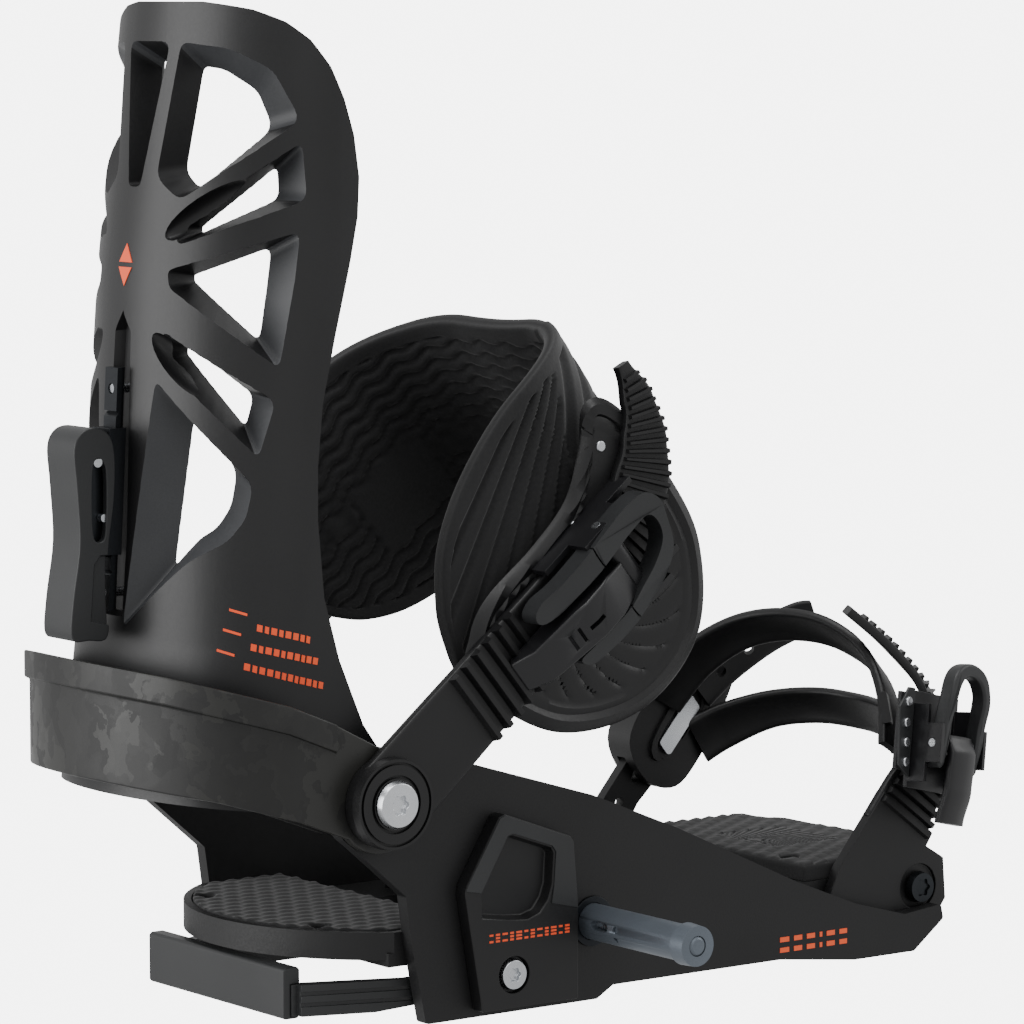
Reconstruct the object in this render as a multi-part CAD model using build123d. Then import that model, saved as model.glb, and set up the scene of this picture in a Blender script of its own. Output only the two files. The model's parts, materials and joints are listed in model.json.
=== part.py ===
from build123d import *
import math
import os

# A touring binding, in millimetres. +X points to the toe, +Y to the left side, +Z up.
# The base stands on Z = 0 and its middle plane is Y = 0. The origin lies on the underside, in
# the middle of the puck channel, 90 mm ahead of the ankle screw axis.

# Base casting
WALL_IN, WALL_OUT = 50.0, 54.5
CHANNEL_TOP = 17.0
DECK_TOP = 21.0
SOLE_TOP = 24.0
TOE_HALF = 45.2
TOE_FRONT = 134.0
HEEL_BACK = -108.0
LIP_IN, LIP_TOP, LIP_BACK = 42.0, 3.5, -32.0
PAD_THICK = 6.0

# Ankle screw axis and the layers that it clamps, measured out from the middle plane
ANKLE_X, ANKLE_Z = -90.0, 67.0
EAR = (46.0, 49.6)
LOOP = (54.8, 58.5)
STRAP = (58.8, 62.6)
DISC = (62.7, 65.6)
ANKLE_SHANK_R = 4.0

# Heel loop
LOOP_BACK = -156.5
LOOP_LIP = 8.0

# Highback
# Height, X of the middle of the back, depth and half width of its U section
HB_STAGES = [
    (54.0, -149.2, 30.0, 49.4), (112.0, -143.1, 34.0, 49.0),
    (216.0, -137.5, 44.0, 47.5), (300.0, -127.0, 36.0, 45.0),
]
HB_T = 3.6
HB_FRONT = -74.0
TRACK_SCREW_Z = (125.0, 183.0)

# Lean adjuster
LEAN_HINGE_X, LEAN_HINGE_Z = -151.6, 163.0
LEVER_HALF = 7.5

# Lock pin
PIN_X, PIN_Z, PIN_R = -12.0, 23.5, 5.35
PIN_END = -104.0
TUNNEL = 8.6
DETENT_Y = -30.0

# Heel bail
BAIL_X, BAIL_Z = -44.0, 12.0
BAIL_BACK = -108.5
BAIL_HALF = 35.5

# Ankle strap: A runs along the ladder from the ankle axis, N across it, towards the shin
RISE = math.radians(40.0)
STRAP_W = 26.0
CROWN = 150.0
PAD_OUT, PAD_T = 54.0, 8.0
BUCKLE_A = 100.0

# Toe strap
TOE_PIVOT = (120.0, 18.8)
FAR_PIVOT = (62.0, 18.0)
TOE_LAYER = (45.6, 49.4)


def box(x0, x1, y0, y1, z0, z1):
    """A box between two opposite corners."""
    solid = Box(abs(x1 - x0), abs(y1 - y0), abs(z1 - z0))
    return Pos((x0 + x1) / 2, (y0 + y1) / 2, (z0 + z1) / 2) * solid


def rod(x, z, r, y0, y1):
    """A cylinder along Y."""
    return Pos(x, (y0 + y1) / 2, z) * Rot(90, 0, 0) * Cylinder(r, abs(y1 - y0))


def side(points, y0, y1, r=0.0):
    """A side outline in X and Z, its corners rounded, given thickness along Y."""
    face = make_face(Polyline(*points, close=True))
    if r:
        face = fillet(face.vertices(), r)
    return extrude(Plane.XZ.offset(-y1) * face, amount=y1 - y0)


def plan(points, z0, z1, r=0.0):
    """A plan outline in X and Y, its corners rounded, given height."""
    face = make_face(Polyline(*points, close=True))
    if r:
        face = fillet(face.vertices(), r)
    return extrude(Plane.XY.offset(z0) * face, amount=z1 - z0)


def both(solid):
    """A solid of the right side with its mirror image on the left."""
    return solid + mirror(solid, Plane.XZ)


def band(stations, thick):
    """A strap through stations of centre, width direction and width."""
    faces = []
    count = len(stations)
    for i, (centre, across, width) in enumerate(stations):
        here = Vector(*centre)
        after = Vector(*stations[min(i + 1, count - 1)][0])
        before = Vector(*stations[max(i - 1, 0)][0])
        run = (after - before).normalized()
        wide = Vector(*across)
        wide = (wide - run * wide.dot(run)).normalized()
        up = wide.cross(run).normalized()
        w, t = wide * (width / 2), up * (thick / 2)
        corners = [here - w - t, here + w - t, here + w + t, here - w + t]
        faces.append(make_face(Polyline(*corners, close=True)))
    return loft(faces, ruled=True)


def one(shape):
    """The single solid of a fused shape."""
    return shape.solids()[0]


# Base -------------------------------------------------------------------------------------


def wall():
    """The right wall of the base, highest at the ankle boss and low at the toe."""
    outline = [
        (-72, 0), (-77, 24), (-79, 38), (-100, 56), (-100, 76), (-84, 80.5), (-55, 74),
        (-12, 61), (20, 48), (66, 27), (90, 17.5), (110, 12), (125, 13.5), (126, 9),
        (114, 0), (90, 0), (60, 3.5), (-4, 3.5), (-10, 0),
    ]
    body = side(outline, -WALL_OUT, -WALL_IN, r=1.2)
    return body + rod(ANKLE_X, ANKLE_Z, 15, -WALL_OUT, -WALL_IN)


def heel_outline(inset, x_front):
    """The heel ledge in plan, its back edge an arc."""
    half = WALL_IN - inset
    back = Line((-80, half), (x_front, half)) + Line((x_front, half), (x_front, -half))
    back += Line((x_front, -half), (-80, -half))
    back += ThreePointArc((-80, -half), (HEEL_BACK + inset, 0), (-80, half))
    return make_face(back)


def toe_outline(inset, x_back):
    """The toe deck in plan, its front edge an arc."""
    half = TOE_HALF - inset
    edge = Line((122, -half), (x_back, -half)) + Line((x_back, -half), (x_back, half))
    edge += Line((x_back, half), (122, half))
    edge += ThreePointArc((122, half), (TOE_FRONT - inset, 0), (122, -half))
    return make_face(edge)


def baseplate():
    """The casting: two walls, deck, heel ledge, toe deck, pin tunnel and channel lips."""
    body = both(wall())
    body += box(-82, 46, -WALL_IN, WALL_IN, CHANNEL_TOP, DECK_TOP)
    body += box(46, 100, -TOE_HALF, TOE_HALF, CHANNEL_TOP, DECK_TOP)
    body += extrude(Plane.XY.offset(19) * heel_outline(0, -50), amount=SOLE_TOP - 19)
    lip = heel_outline(0, -60) - heel_outline(2.5, -60)
    body += extrude(Plane.XY.offset(19) * lip, amount=8)
    body += extrude(Plane.XY.offset(18) * toe_outline(0, 76), amount=SOLE_TOP - 18)
    body += extrude(Plane.XY.offset(8) * toe_outline(0, 106), amount=10)
    body += both(box(46, 112, -WALL_IN, -LIP_IN, 3.4, 6.4))
    body += both(box(46, 76, -TOE_HALF, -TOE_HALF + 4, 3.4, DECK_TOP))
    body += both(box(LIP_BACK, -9, -WALL_IN, -LIP_IN, 0, LIP_TOP))
    body += both(box(90, 110, -WALL_IN, -LIP_IN, 0, LIP_TOP))
    body += box(PIN_X - TUNNEL, PIN_X + TUNNEL, -WALL_IN, 38, DECK_TOP, PIN_Z + TUNNEL)
    body += box(PIN_X - TUNNEL, PIN_X + TUNNEL, -WALL_IN, 38, 15.2, DECK_TOP)
    body -= rod(PIN_X, PIN_Z, 7.5, -60, -44)
    body -= rod(PIN_X, PIN_Z, PIN_R + 0.3, -44, 34)
    body -= rod(PIN_X, PIN_Z, 7.5, 34, 40)
    body -= Pos(PIN_X, DETENT_Y, PIN_Z + 8) * Cylinder(2.6, 10)
    for s in (-1, 1):
        body -= rod(ANKLE_X, ANKLE_Z, ANKLE_SHANK_R + 1.2, s * 40, s * 60)
        body -= rod(BAIL_X, BAIL_Z, 3.6, s * 49, s * 60)
        if s > 0:
            body -= rod(*FAR_PIVOT, 3.1, 49, 60)
            body -= rod(*FAR_PIVOT, 5.4, 42.8, 46)
        else:
            body -= rod(*TOE_PIVOT, 3.1, -30, -46)
            body -= rod(*TOE_PIVOT, 5.0, -30, -39)
        body -= box(104, 110, s * 10, s * 36, 6, 19)
    for x in (-64, -34, 22, 44):
        body -= Pos(x, 0, 20) * Box(18, 52, 12)
    for x, y in pad_screw_places():
        body -= Pos(x, y, 20) * Cylinder(1.6, 20)
    return one(body)


def pad_screw_places():
    """Where small screws hold the two foot pads down."""
    return [(-92, -30), (-92, 30), (84, -30), (84, 30)]


def foot_pads():
    """The two cushioned pads of the footbed."""
    heel = extrude(Plane.XY.offset(SOLE_TOP) * heel_outline(3.0, -53), amount=PAD_THICK - 2)
    toe = extrude(Plane.XY.offset(SOLE_TOP) * toe_outline(1.0, 78), amount=PAD_THICK)
    toe = chamfer(toe.faces().sort_by(Axis.Z)[-1].edges(), 1.5)
    for x, y in pad_screw_places():
        hole = Pos(x, y, 30) * Cylinder(3.2, 14)
        heel -= hole
        toe -= hole
    return heel, toe


def pad_screws():
    """Four small countersunk screws that hold the pads."""
    out = []
    for x, y in pad_screw_places():
        head = Pos(x, y, 25.0) * Cylinder(3.0, 2.0)
        shank = Pos(x, y, 21.1) * Cylinder(1.55, 5.8)
        out.append(head + shank - Pos(x, y, 26) * Box(4, 0.8, 1.2))
    return Compound(out)


def channel_liners():
    """Low friction strips that ride on the pucks."""
    out = []
    rear = box(LIP_BACK, -9, -49.8, -LIP_IN, LIP_TOP, LIP_TOP + 1.5)
    front = box(78, 105, -TOE_HALF + 0.1, -LIP_IN, 6.4, 7.9)
    for strip in (rear, front):
        out += [strip, mirror(strip, Plane.XZ)]
    return Compound([one(s) for s in out])


def side_cover(sign):
    """The moulded cover over the middle of a wall, with its thumb pocket."""
    outline = [(-57, 2), (-63, 39), (-51, 59), (-24, 50), (-22.5, 34), (-20.5, 24), (-21, 2)]
    pocket = [(-48, 54), (-31, 48), (-31, 38), (-37, 29), (-43, 28), (-57, 30), (-57, 38)]
    body = side(outline, -59.5, -WALL_OUT, r=1.5)
    body = chamfer(body.faces().sort_by(Axis.Y)[0].edges(), 0.8)
    body -= side(pocket, -60, -56.2, r=1.0)
    body -= rod(BAIL_X, BAIL_Z, 3.6, -60, -54)
    body -= rod(BAIL_X, BAIL_Z, 5.2, -60, -57.5)
    return body if sign < 0 else mirror(body, Plane.XZ)


def bail_screws():
    """The two pivot screws of the heel bail, from cover to inner nut."""
    head = rod(BAIL_X, BAIL_Z, 4.75, -59.8, -57.5)
    head -= rod(BAIL_X, BAIL_Z, 1.9, -60, -58.4)
    return Compound([*both(head + rod(BAIL_X, BAIL_Z, 2.6, -57.5, -44.4)).solids()])


def ankle_fasteners():
    """Ankle screws, their sleeve nuts and the washer discs outside the straps."""
    head = rod(ANKLE_X, ANKLE_Z, 7.0, -67.4, -DISC[1])
    head = chamfer(head.faces().sort_by(Axis.Y)[0].edges(), 1.0)
    head -= rod(ANKLE_X, ANKLE_Z, 2.8, -68, -65.9)
    screw = head + rod(ANKLE_X, ANKLE_Z, 2.9, -DISC[1], -47)
    nut = rod(ANKLE_X, ANKLE_Z, ANKLE_SHANK_R, -DISC[0], -45.7)
    nut += rod(ANKLE_X, ANKLE_Z, 8.5, -45.7, -43.6)
    nut -= rod(ANKLE_X, ANKLE_Z, 3.0, -64, -46)
    disc = rod(ANKLE_X, ANKLE_Z, 13.3, -DISC[1], -DISC[0])
    disc = chamfer(disc.faces().sort_by(Axis.Y)[0].edges(), 0.7)
    ring = rod(ANKLE_X, ANKLE_Z, 12.0, -66, -65.1) - rod(ANKLE_X, ANKLE_Z, 11.4, -67, -64)
    disc = disc - ring - rod(ANKLE_X, ANKLE_Z, 3.0, -67, -60)
    return [Compound([*both(s).solids()]) for s in (screw, nut, disc)]


# Heel loop and highback -------------------------------------------------------------------


def loop_plan(outer):
    """The heel loop seen from above: straight arms closed by a half ellipse."""
    half = outer
    back = LOOP_BACK + (LOOP[1] - outer)
    front = ANKLE_X + 16
    depth = -118 - back
    edge = Line((-118, half), (front, half)) + Line((front, half), (front, -half))
    edge += Line((front, -half), (-118, -half))
    edge += EllipticalCenterArc((-118, 0), depth, half, 90, arc_size=180)
    return make_face(edge)


def heel_loop():
    """The marbled loop round the heel, deeper at the back and with a proud upper lip."""
    top = [(-90, 82), (-106, 90.5), (-122, 97), (-149, 105), (-170.5, 110)]
    low = [(-170.5, 76), (-139, 70), (-116, 63), (-101, 57), (-90, 52)]
    ring = loop_plan(LOOP[1]) - loop_plan(LOOP[0])
    ring = extrude(Plane.XY.offset(40) * ring, amount=90)
    body = ring & (side(top + low, -70, 70) + rod(ANKLE_X, ANKLE_Z, 15, -70, 70))
    wide = extrude(Plane.XY.offset(40) * (loop_plan(60.0) - loop_plan(56.0)), amount=90)
    crest = top + [(x, z - LOOP_LIP) for x, z in reversed(top)]
    body += wide & side(crest[1:-1], -70, 70)
    for s in (-1, 1):
        body -= rod(ANKLE_X, ANKLE_Z, ANKLE_SHANK_R + 0.05, s * 50, s * 62)
        body -= box(-102, -70, s * 58.55, s * 62, 40, 120)
    return one(body)


def at_height(z):
    """Middle X, depth and half width of the highback's U section at height z."""
    for low, high in zip(HB_STAGES, HB_STAGES[1:]):
        if z <= high[0]:
            break
    t = (z - low[0]) / (high[0] - low[0])
    return [low[i] + (high[i] - low[i]) * t for i in (1, 2, 3)]


def spine_x(z):
    """How far back the highback's middle stands at height z."""
    return at_height(z)[0]


def section(z):
    """One U section of the highback shell at height z, open to the front."""
    back, depth, half = at_height(z)
    mid = back + depth
    inner = half - HB_T
    front = HB_FRONT
    edge = Line((front, half), (mid, half))
    edge += EllipticalCenterArc((mid, 0), depth, half, 90, arc_size=180)
    edge += Line((mid, -half), (front, -half)) + Line((front, -half), (front, -inner))
    edge += Line((front, -inner), (mid, -inner))
    edge += EllipticalCenterArc((mid, 0), depth - HB_T, inner, 90, arc_size=180)
    edge += Line((mid, inner), (front, inner)) + Line((front, inner), (front, half))
    return Plane.XY.offset(z) * make_face(edge)


def wing_outline():
    """The highback seen from the side."""
    return [
        (-160, 70), (-160, 292.5), (-124, 292.2), (-116, 290), (-109, 286.5), (-103, 281.5),
        (-97.5, 274), (-93.5, 265), (-90.5, 255), (-89, 243), (-89.8, 232), (-92.5, 220),
        (-98, 199), (-102.5, 180), (-104.5, 162), (-104.8, 147), (-103, 125), (-98, 107),
        (-90, 88), (-80, 74), (-80, 62), (-92, 55), (-104, 58), (-125, 66),
    ]


def on_shell(turn, z):
    """A point of the shell's outside: degrees round from the middle of the back, and height."""
    back, depth, half = at_height(z)
    t = math.radians(turn)
    return Vector(back + depth * (1 - math.cos(t)), -half * math.sin(t), z)


def window(corners):
    """The prism that opens one window, square to the shell at the window's middle."""
    turn = sum(c[0] for c in corners) / len(corners)
    height = sum(c[1] for c in corners) / len(corners)
    _, depth, half = at_height(height)
    t = math.radians(turn)
    out = Vector(-half * math.cos(t), -depth * math.sin(t), 0).normalized()
    view = Plane(origin=on_shell(turn, height), x_dir=(0, 0, 1), z_dir=out)
    flat_corners = [view.to_local_coords(on_shell(*c)) for c in corners]
    face = make_face(Polyline(*[(p.X, p.Y) for p in flat_corners], close=True))
    return extrude(view.offset(-16) * fillet(face.vertices(), 1.5), amount=32)


def windows():
    """The openings of the right half, between the ribs that radiate from the hub."""
    return [
        [(19, 279), (38, 276), (53, 271), (63, 258), (24, 236), (14, 242)],
        [(66, 251), (68, 237), (42, 230), (42, 237)],
        [(66, 227), (62, 190), (24, 211), (24, 216)],
        [(61, 180), (58, 167), (34, 188), (38, 193)],
        [(24, 181), (56, 156), (53, 149), (47, 143), (34, 138), (24, 134)],
    ]


def highback():
    """The star-ribbed shell, with two ears that turn on the ankle nuts."""
    shell = loft([section(stage[0]) for stage in HB_STAGES], ruled=True)
    shell = shell & side(wing_outline(), -70, 70)
    shell -= window([(-11, 279), (11, 279), (1.5, 246), (-1.5, 246)])
    for corners in windows():
        shell -= both(window(corners))
    for z in TRACK_SCREW_Z:
        shell -= Pos(spine_x(z), 0, z) * Rot(0, 90, 0) * Cylinder(1.5, 20)
    for s in (-1, 1):
        shell += rod(ANKLE_X, ANKLE_Z, 12.5, s * EAR[0], s * 49.4)
        shell -= rod(ANKLE_X, ANKLE_Z, ANKLE_SHANK_R + 0.05, s * 40, s * 60)
        shell -= rod(ANKLE_X, ANKLE_Z, 9.0, s * 40, s * 45.9)
    return one(shell)


def upright(z0, z1, deep, shallow, y0, y1):
    """A bar that follows the highback's spine, between two depths behind its surface."""
    outline = [
        (spine_x(z0) - deep, z0), (spine_x(z1) - deep, z1),
        (spine_x(z1) - shallow, z1), (spine_x(z0) - shallow, z0),
    ]
    return side(outline, y0, y1)


def lean_track():
    """The toothed T rail up the back of the highback, with its two screws."""
    rail = upright(120, 189, 3.2, 1.5, -3.2, 3.2) + upright(120, 189, 1.5, 0, -1.9, 1.9)
    for k in range(10):
        z = 131 + 5 * k
        rail -= Pos(spine_x(z) - 3.4, 0, z) * Rot(0, 45, 0) * Box(1.4, 7, 1.4)
    screws = []
    for z in TRACK_SCREW_Z:
        x = spine_x(z)
        rail -= Pos(x, 0, z) * Rot(0, 90, 0) * Cylinder(1.5, 20)
        shank = Pos(x + 1.0, 0, z) * Rot(0, 90, 0) * Cylinder(1.4, 7.6)
        washer = Pos(x + 5.0, 0, z) * Rot(0, 90, 0) * Cylinder(3.0, 1.6)
        screws.append(shank + washer)
    return one(rail), Compound(screws)


# Lean adjuster ----------------------------------------------------------------------------


def lean_parts():
    """Slider in the track, the grey lever hinged on it, hinge pin and catch pin."""
    hx, hz = LEAN_HINGE_X, LEAN_HINGE_Z
    z0, z1 = 136, 172
    slider = upright(z0, z1, 6.0, 3.4, -4.6, 4.6)
    for y0, y1 in ((-4.6, -3.4), (3.4, 4.6)):
        slider += upright(z0, z1, 6.0, 0.5, y0, y1)
    for y0, y1 in ((-4.6, -2.2), (2.2, 4.6)):
        slider += upright(z0, z1, 1.3, 0.5, y0, y1)
    slider += box(hx - 3.2, spine_x(150) - 4.2, -4.4, 4.4, 140, hz)
    slider += rod(hx, hz, 3.2, -4.4, 4.4)
    slider -= rod(hx, hz, 1.55, -10, 10)
    slider -= rod(hx + 2.4, 147, 1.25, -10, 10)
    hinge = rod(hx, hz, 1.5, -LEVER_HALF, LEVER_HALF)
    catch = rod(hx + 2.4, 147, 1.2, -6.8, 6.8)
    outline = [
        (hx - 8, hz), (hx - 8, hz + 5), (hx - 4, hz + 8), (hx + 3, hz + 8), (hx + 6.5, hz + 3),
        (hx + 6.5, hz - 8), (hx + 4.5, 128), (hx + 4.5, 113), (hx - 9.5, 111.5),
        (hx - 8.5, 135),
    ]
    lever = side(outline, -LEVER_HALF, LEVER_HALF, r=1.4)
    lever -= box(hx - 4.6, hx + 20, -4.9, 4.9, 124, hz + 4.4)
    lever -= box(hx - 2.2, hx + 20, -4.9, 4.9, 124, hz + 20)
    lever -= box(hx, hx + 20, -20, 20, 138, 156)
    lever -= box(hx + 0.5, hx + 20, -4.9, 4.9, 100, 126)
    lever -= rod(hx, hz, 1.55, -10, 10)
    return one(slider), hinge, catch, one(lever)


# Lock pin ---------------------------------------------------------------------------------


def lock_pin():
    """Grey sleeve with collar, steel core and end cap; it slides along Y."""
    sleeve = rod(PIN_X, PIN_Z, PIN_R, PIN_END, -24)
    sleeve += rod(PIN_X, PIN_Z, 6.2, PIN_END, PIN_END + 5)
    sleeve -= rod(PIN_X, PIN_Z, 3.0, PIN_END - 1, -23)
    sleeve -= Pos(PIN_X - 4.6, -64, PIN_Z) * Box(2.4, 9, 3.4)
    for y in (-74, DETENT_Y):
        sleeve -= Pos(PIN_X, y, PIN_Z + PIN_R + 0.6) * Sphere(1.6)
    core = rod(PIN_X, PIN_Z, 2.95, PIN_END + 4, -20)
    cap = rod(PIN_X, PIN_Z, 2.95, PIN_END - 0.4, PIN_END + 3.9)
    cap = chamfer(cap.faces().sort_by(Axis.Y)[0].edges(), 0.8)
    return sleeve, core, cap


def pin_guides():
    """Two plain bushes that guide the lock pin, and its detent ball, spring and plug."""
    near = rod(PIN_X, PIN_Z, 7.45, -55.4, -44.1) - rod(PIN_X, PIN_Z, PIN_R + 0.06, -60, -40)
    far = rod(PIN_X, PIN_Z, 7.45, 34.1, 38) - rod(PIN_X, PIN_Z, PIN_R + 0.06, 30, 40)
    top = PIN_Z + TUNNEL
    ball = Pos(PIN_X, DETENT_Y, PIN_Z + PIN_R + 1.3) * Sphere(1.2)
    plug = Pos(PIN_X, DETENT_Y, top - 0.4) * Cylinder(2.55, 0.8)
    return Compound([near, far]), ball, plug


# Heel bail --------------------------------------------------------------------------------


def heel_bail():
    """The U frame that swings on the side screws, its grip and its pivot bushes."""
    arm = [(-44, -45.2), (-44, -49.2), (-72, -49.2), (-104, -38.0), (-104, -33.0), (-74, -45.2)]
    leg = plan(arm, 3.4, 12.6)
    leg &= side([(-40, 20), (-108, 20), (-108, 0), (-70, 5.2), (-40, 8)], -60, -20)
    leg += rod(BAIL_X, BAIL_Z, 4.6, -49.2, -45.2)
    leg -= rod(BAIL_X, BAIL_Z, 3.2, -60, -40)
    for z in (6.2, 9.4):
        groove = [(-70, -50.2), (-104, -38.6), (-104, -37.3), (-70, -48.9)]
        leg -= plan(groove, z, z + 1.2)
    frame = both(leg) + box(-106, -102, -36, 36, 3.4, 12.6)
    grip = box(BAIL_BACK, -102.8, -BAIL_HALF, BAIL_HALF, 2.6, 17.6)
    grip = chamfer(grip.edges().filter_by(Axis.Y), 0.8)
    grip -= box(-106, -102, -36.1, 36.1, 3.4, 12.6)
    bush = rod(BAIL_X, BAIL_Z, 3.15, -49.2, -45.2) - rod(BAIL_X, BAIL_Z, 2.65, -60, -40)
    return one(frame), one(grip), Compound([*both(bush).solids()])


# Ankle strap ------------------------------------------------------------------------------

E = Vector(math.cos(RISE), 0, math.sin(RISE))
N = Vector(-math.sin(RISE), 0, math.cos(RISE))
AXIS = Vector(ANKLE_X, 0, ANKLE_Z)
SIDE_VIEW = Plane(origin=tuple(AXIS), x_dir=tuple(E), z_dir=(0, -1, 0))
ARCH_VIEW = Plane(origin=tuple(AXIS), x_dir=tuple(E), z_dir=tuple(N))


def at(a, y, n):
    """A point of the ankle strap from its own coordinates."""
    return tuple(AXIS + E * a + N * n + Vector(0, y, 0))


def flat(points, y0, y1, r=0.0):
    """An outline in A and N, given thickness between two values of Y."""
    face = make_face(Polyline(*points, close=True))
    if r:
        face = fillet(face.vertices(), r)
    return extrude(SIDE_VIEW.offset(-y1) * face, amount=y1 - y0)


def cross_pin(a, y, r, n0, n1):
    """A pin across the strap, along N."""
    centre = at(a, y, (n0 + n1) / 2)
    place = Plane(origin=centre, z_dir=tuple(N))
    return place * Cylinder(r, n1 - n0)


def arch(out, thick, low_near, low_far, n0, n1):
    """A band over the instep: flat sides and a crown with large round corners."""
    def face(half, crown):
        points = [(low_near, -half), (crown, -half), (crown, half), (low_far, half)]
        sheet = make_face(Polyline(*points, close=True))
        tops = [v for v in sheet.vertices() if v.X > crown - 1]
        return fillet(tops, 38 - (out - half))
    ring = face(out, CROWN) - face(out - thick, CROWN - thick)
    return extrude(ARCH_VIEW.offset(n0) * ring, amount=n1 - n0)


def ankle_pad():
    """The padded cap over the instep, a wing on each side."""
    body = arch(PAD_OUT, PAD_T, 30, 30, -60, 70)
    near = [
        (48, 4), (52, 22), (62, 38), (78, 49), (104, 54), (152, 48), (152, -40), (110, -42),
        (78, -38), (56, -20),
    ]
    far = [
        (62, 2), (62, 24), (76, 44), (106, 53), (152, 48), (152, -40), (112, -36), (88, -27),
        (70, -12),
    ]
    right = body & flat(near, -70, 0, r=4)
    left = body & flat(far, 0, 70, r=4)
    return one(right + left)


def ankle_ladder():
    """The toothed strap from the right ankle screw through the buckle to its free end."""
    y = -(STRAP[0] + STRAP[1]) / 2
    wide = tuple(N)
    lean = tuple(N * 0.93 - E * 0.37)
    stations = [
        (at(0, y, 0), wide, STRAP_W), (at(84, y, 0), wide, STRAP_W - 2),
        (at(122, y, 1), wide, 22), (at(134, y + 1, 5), lean, 21),
        (at(146, y + 7, 11), lean, 19), (at(157, y + 16, 17), lean, 12),
    ]
    body = band(stations, STRAP[1] - STRAP[0])
    body += rod(ANKLE_X, ANKLE_Z, STRAP_W / 2, -STRAP[1], -STRAP[0])
    body -= rod(ANKLE_X, ANKLE_Z, ANKLE_SHANK_R + 0.05, -70, -50)
    for k in range(6):
        a = 52 + 4.6 * k
        body += flat([(a, -12), (a + 2.2, -12), (a + 2.2, 12), (a, 12)], -64.6, -STRAP[1])
    return one(body)


def ankle_far_strap():
    """The plain strap from the left ankle screw to the pad."""
    y = (STRAP[0] + STRAP[1]) / 2
    wide = tuple(N)
    stations = [
        (at(0, y, 0), wide, STRAP_W), (at(55, y, 0), wide, STRAP_W),
        (at(78, y - 3, 0), wide, 24), (at(112, y - 4.5, 4), wide, 22),
    ]
    body = band(stations, STRAP[1] - STRAP[0])
    body += rod(ANKLE_X, ANKLE_Z, STRAP_W / 2, STRAP[0], STRAP[1])
    body -= rod(ANKLE_X, ANKLE_Z, ANKLE_SHANK_R + 0.05, 50, 70)
    return one(body)


def ankle_shell():
    """The oval outer shell on the right wing and the black plate that carries the buckle."""
    outline = [
        (46, 2), (54, 22), (76, 36), (104, 40), (125, 32), (133, 6), (130, -22), (112, -44),
        (84, -46), (58, -28),
    ]
    shell = flat(outline, -57.0, -54.3, r=10)
    plate = flat([(64, 15), (66, 22), (118, 29), (121, 15)], -58.4, -57.0, r=2)
    rivets = []
    for a, n in ((70, 18.5), (86, 20), (101, 21), (115, 22)):
        place = Vector(*at(a, 0, n))
        rivets.append(rod(place.X, place.Z, 2.0, -59.2, -58.4))
    return shell, plate, Compound(rivets)


def ankle_buckle():
    """Buckle base with two cheeks, its cross pin, coil spring, lever and release trigger."""
    c = BUCKLE_A
    floor = flat([(c - 22, -14.6), (c + 22, -14.6), (c + 22, 14.6), (c - 22, 14.6)], -58.5, -57.1)
    base = floor
    for n in (-14.6, 12.8):
        rib = flat([(c - 20, n), (c + 20, n), (c + 20, n + 1.8), (c - 20, n + 1.8)], -66, -58.5)
        ear = flat([(c - 9, n), (c + 9, n), (c + 9, n + 1.8), (c - 9, n + 1.8)], -74, -58.5)
        base += rib + ear
    base -= cross_pin(c, -70, 1.6, -20, 20)
    pin = cross_pin(c, -70, 1.55, -14.6, 14.6)
    spring = cross_pin(c, -70, 3.0, -3.0, 3.0) - cross_pin(c, -70, 1.6, -4, 4)
    lever = lever_loop(c)
    trigger = trigger_blade(c)
    return one(base), pin, spring, lever, trigger


def lever_loop(c):
    """The outer loop that tightens the ladder: two legs joined by an arched head."""
    legs = []
    for n in (-12.5, 9.3):
        legs.append(flat([(c - 5, n), (c + 32, n), (c + 32, n + 3.2), (c - 5, n + 3.2)], -73, -67))
    head = flat([(c + 26, -12.5), (c + 34, -12.5), (c + 34, 12.5), (c + 26, 12.5)], -73, -67)
    body = legs[0] + legs[1] + head
    return one(body - cross_pin(c, -70, 1.65, -20, 20))


def trigger_blade(c):
    """The inner release lever, a broad blade towards the ankle."""
    blade = flat([(c - 32, -8), (c + 4, -8), (c + 4, 8), (c - 32, 8)], -74, -69, r=1.5)
    blade += cross_pin(c, -70, 3.4, -8, 8)
    blade -= cross_pin(c, -70, 3.2, -3.2, 3.2)
    blade -= flat([(c - 4, -3.2), (c + 5, -3.2), (c + 5, 3.2), (c - 4, 3.2)], -76, -64)
    return one(blade - cross_pin(c, -70, 1.65, -20, 20))


# Toe strap --------------------------------------------------------------------------------


def toe_ladder():
    """The right toe strap: broad foot on its screw, ribs, then the free toothed end."""
    y = -(TOE_LAYER[0] + TOE_LAYER[1]) / 2
    slope, turned = (0.78, 0, -0.62), (0.5, 0.86, 0.0)
    foot = [
        (84, 8), (84, 19), (106, 50), (126, 35), (123, 31), (130.5, 27), (131, 14), (124, 7.5),
    ]
    body = side(foot, -TOE_LAYER[1], -TOE_LAYER[0], r=1.2)
    stations = [
        ((112, y, 38), slope, 24), ((123.5, y, 54), slope, 21), ((128, y, 66), slope, 17),
        ((127, y + 4, 80), (0.7, 0.5, -0.3), 13), ((117, y + 12, 94), turned, 10),
        ((105, y + 17, 105), turned, 7),
    ]
    body += band(stations, TOE_LAYER[1] - TOE_LAYER[0] - 0.4)
    for k in range(5):
        x, z = 115.5 + 2.1 * k, 42 + 2.7 * k
        rib = Pos(x, -TOE_LAYER[1] - 0.4, z) * Rot(0, 39, 0) * Box(22 - k, 1.6, 1.7)
        body += rib
    body -= rod(*TOE_PIVOT, 3.6, -60, -40)
    return one(body)


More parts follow.
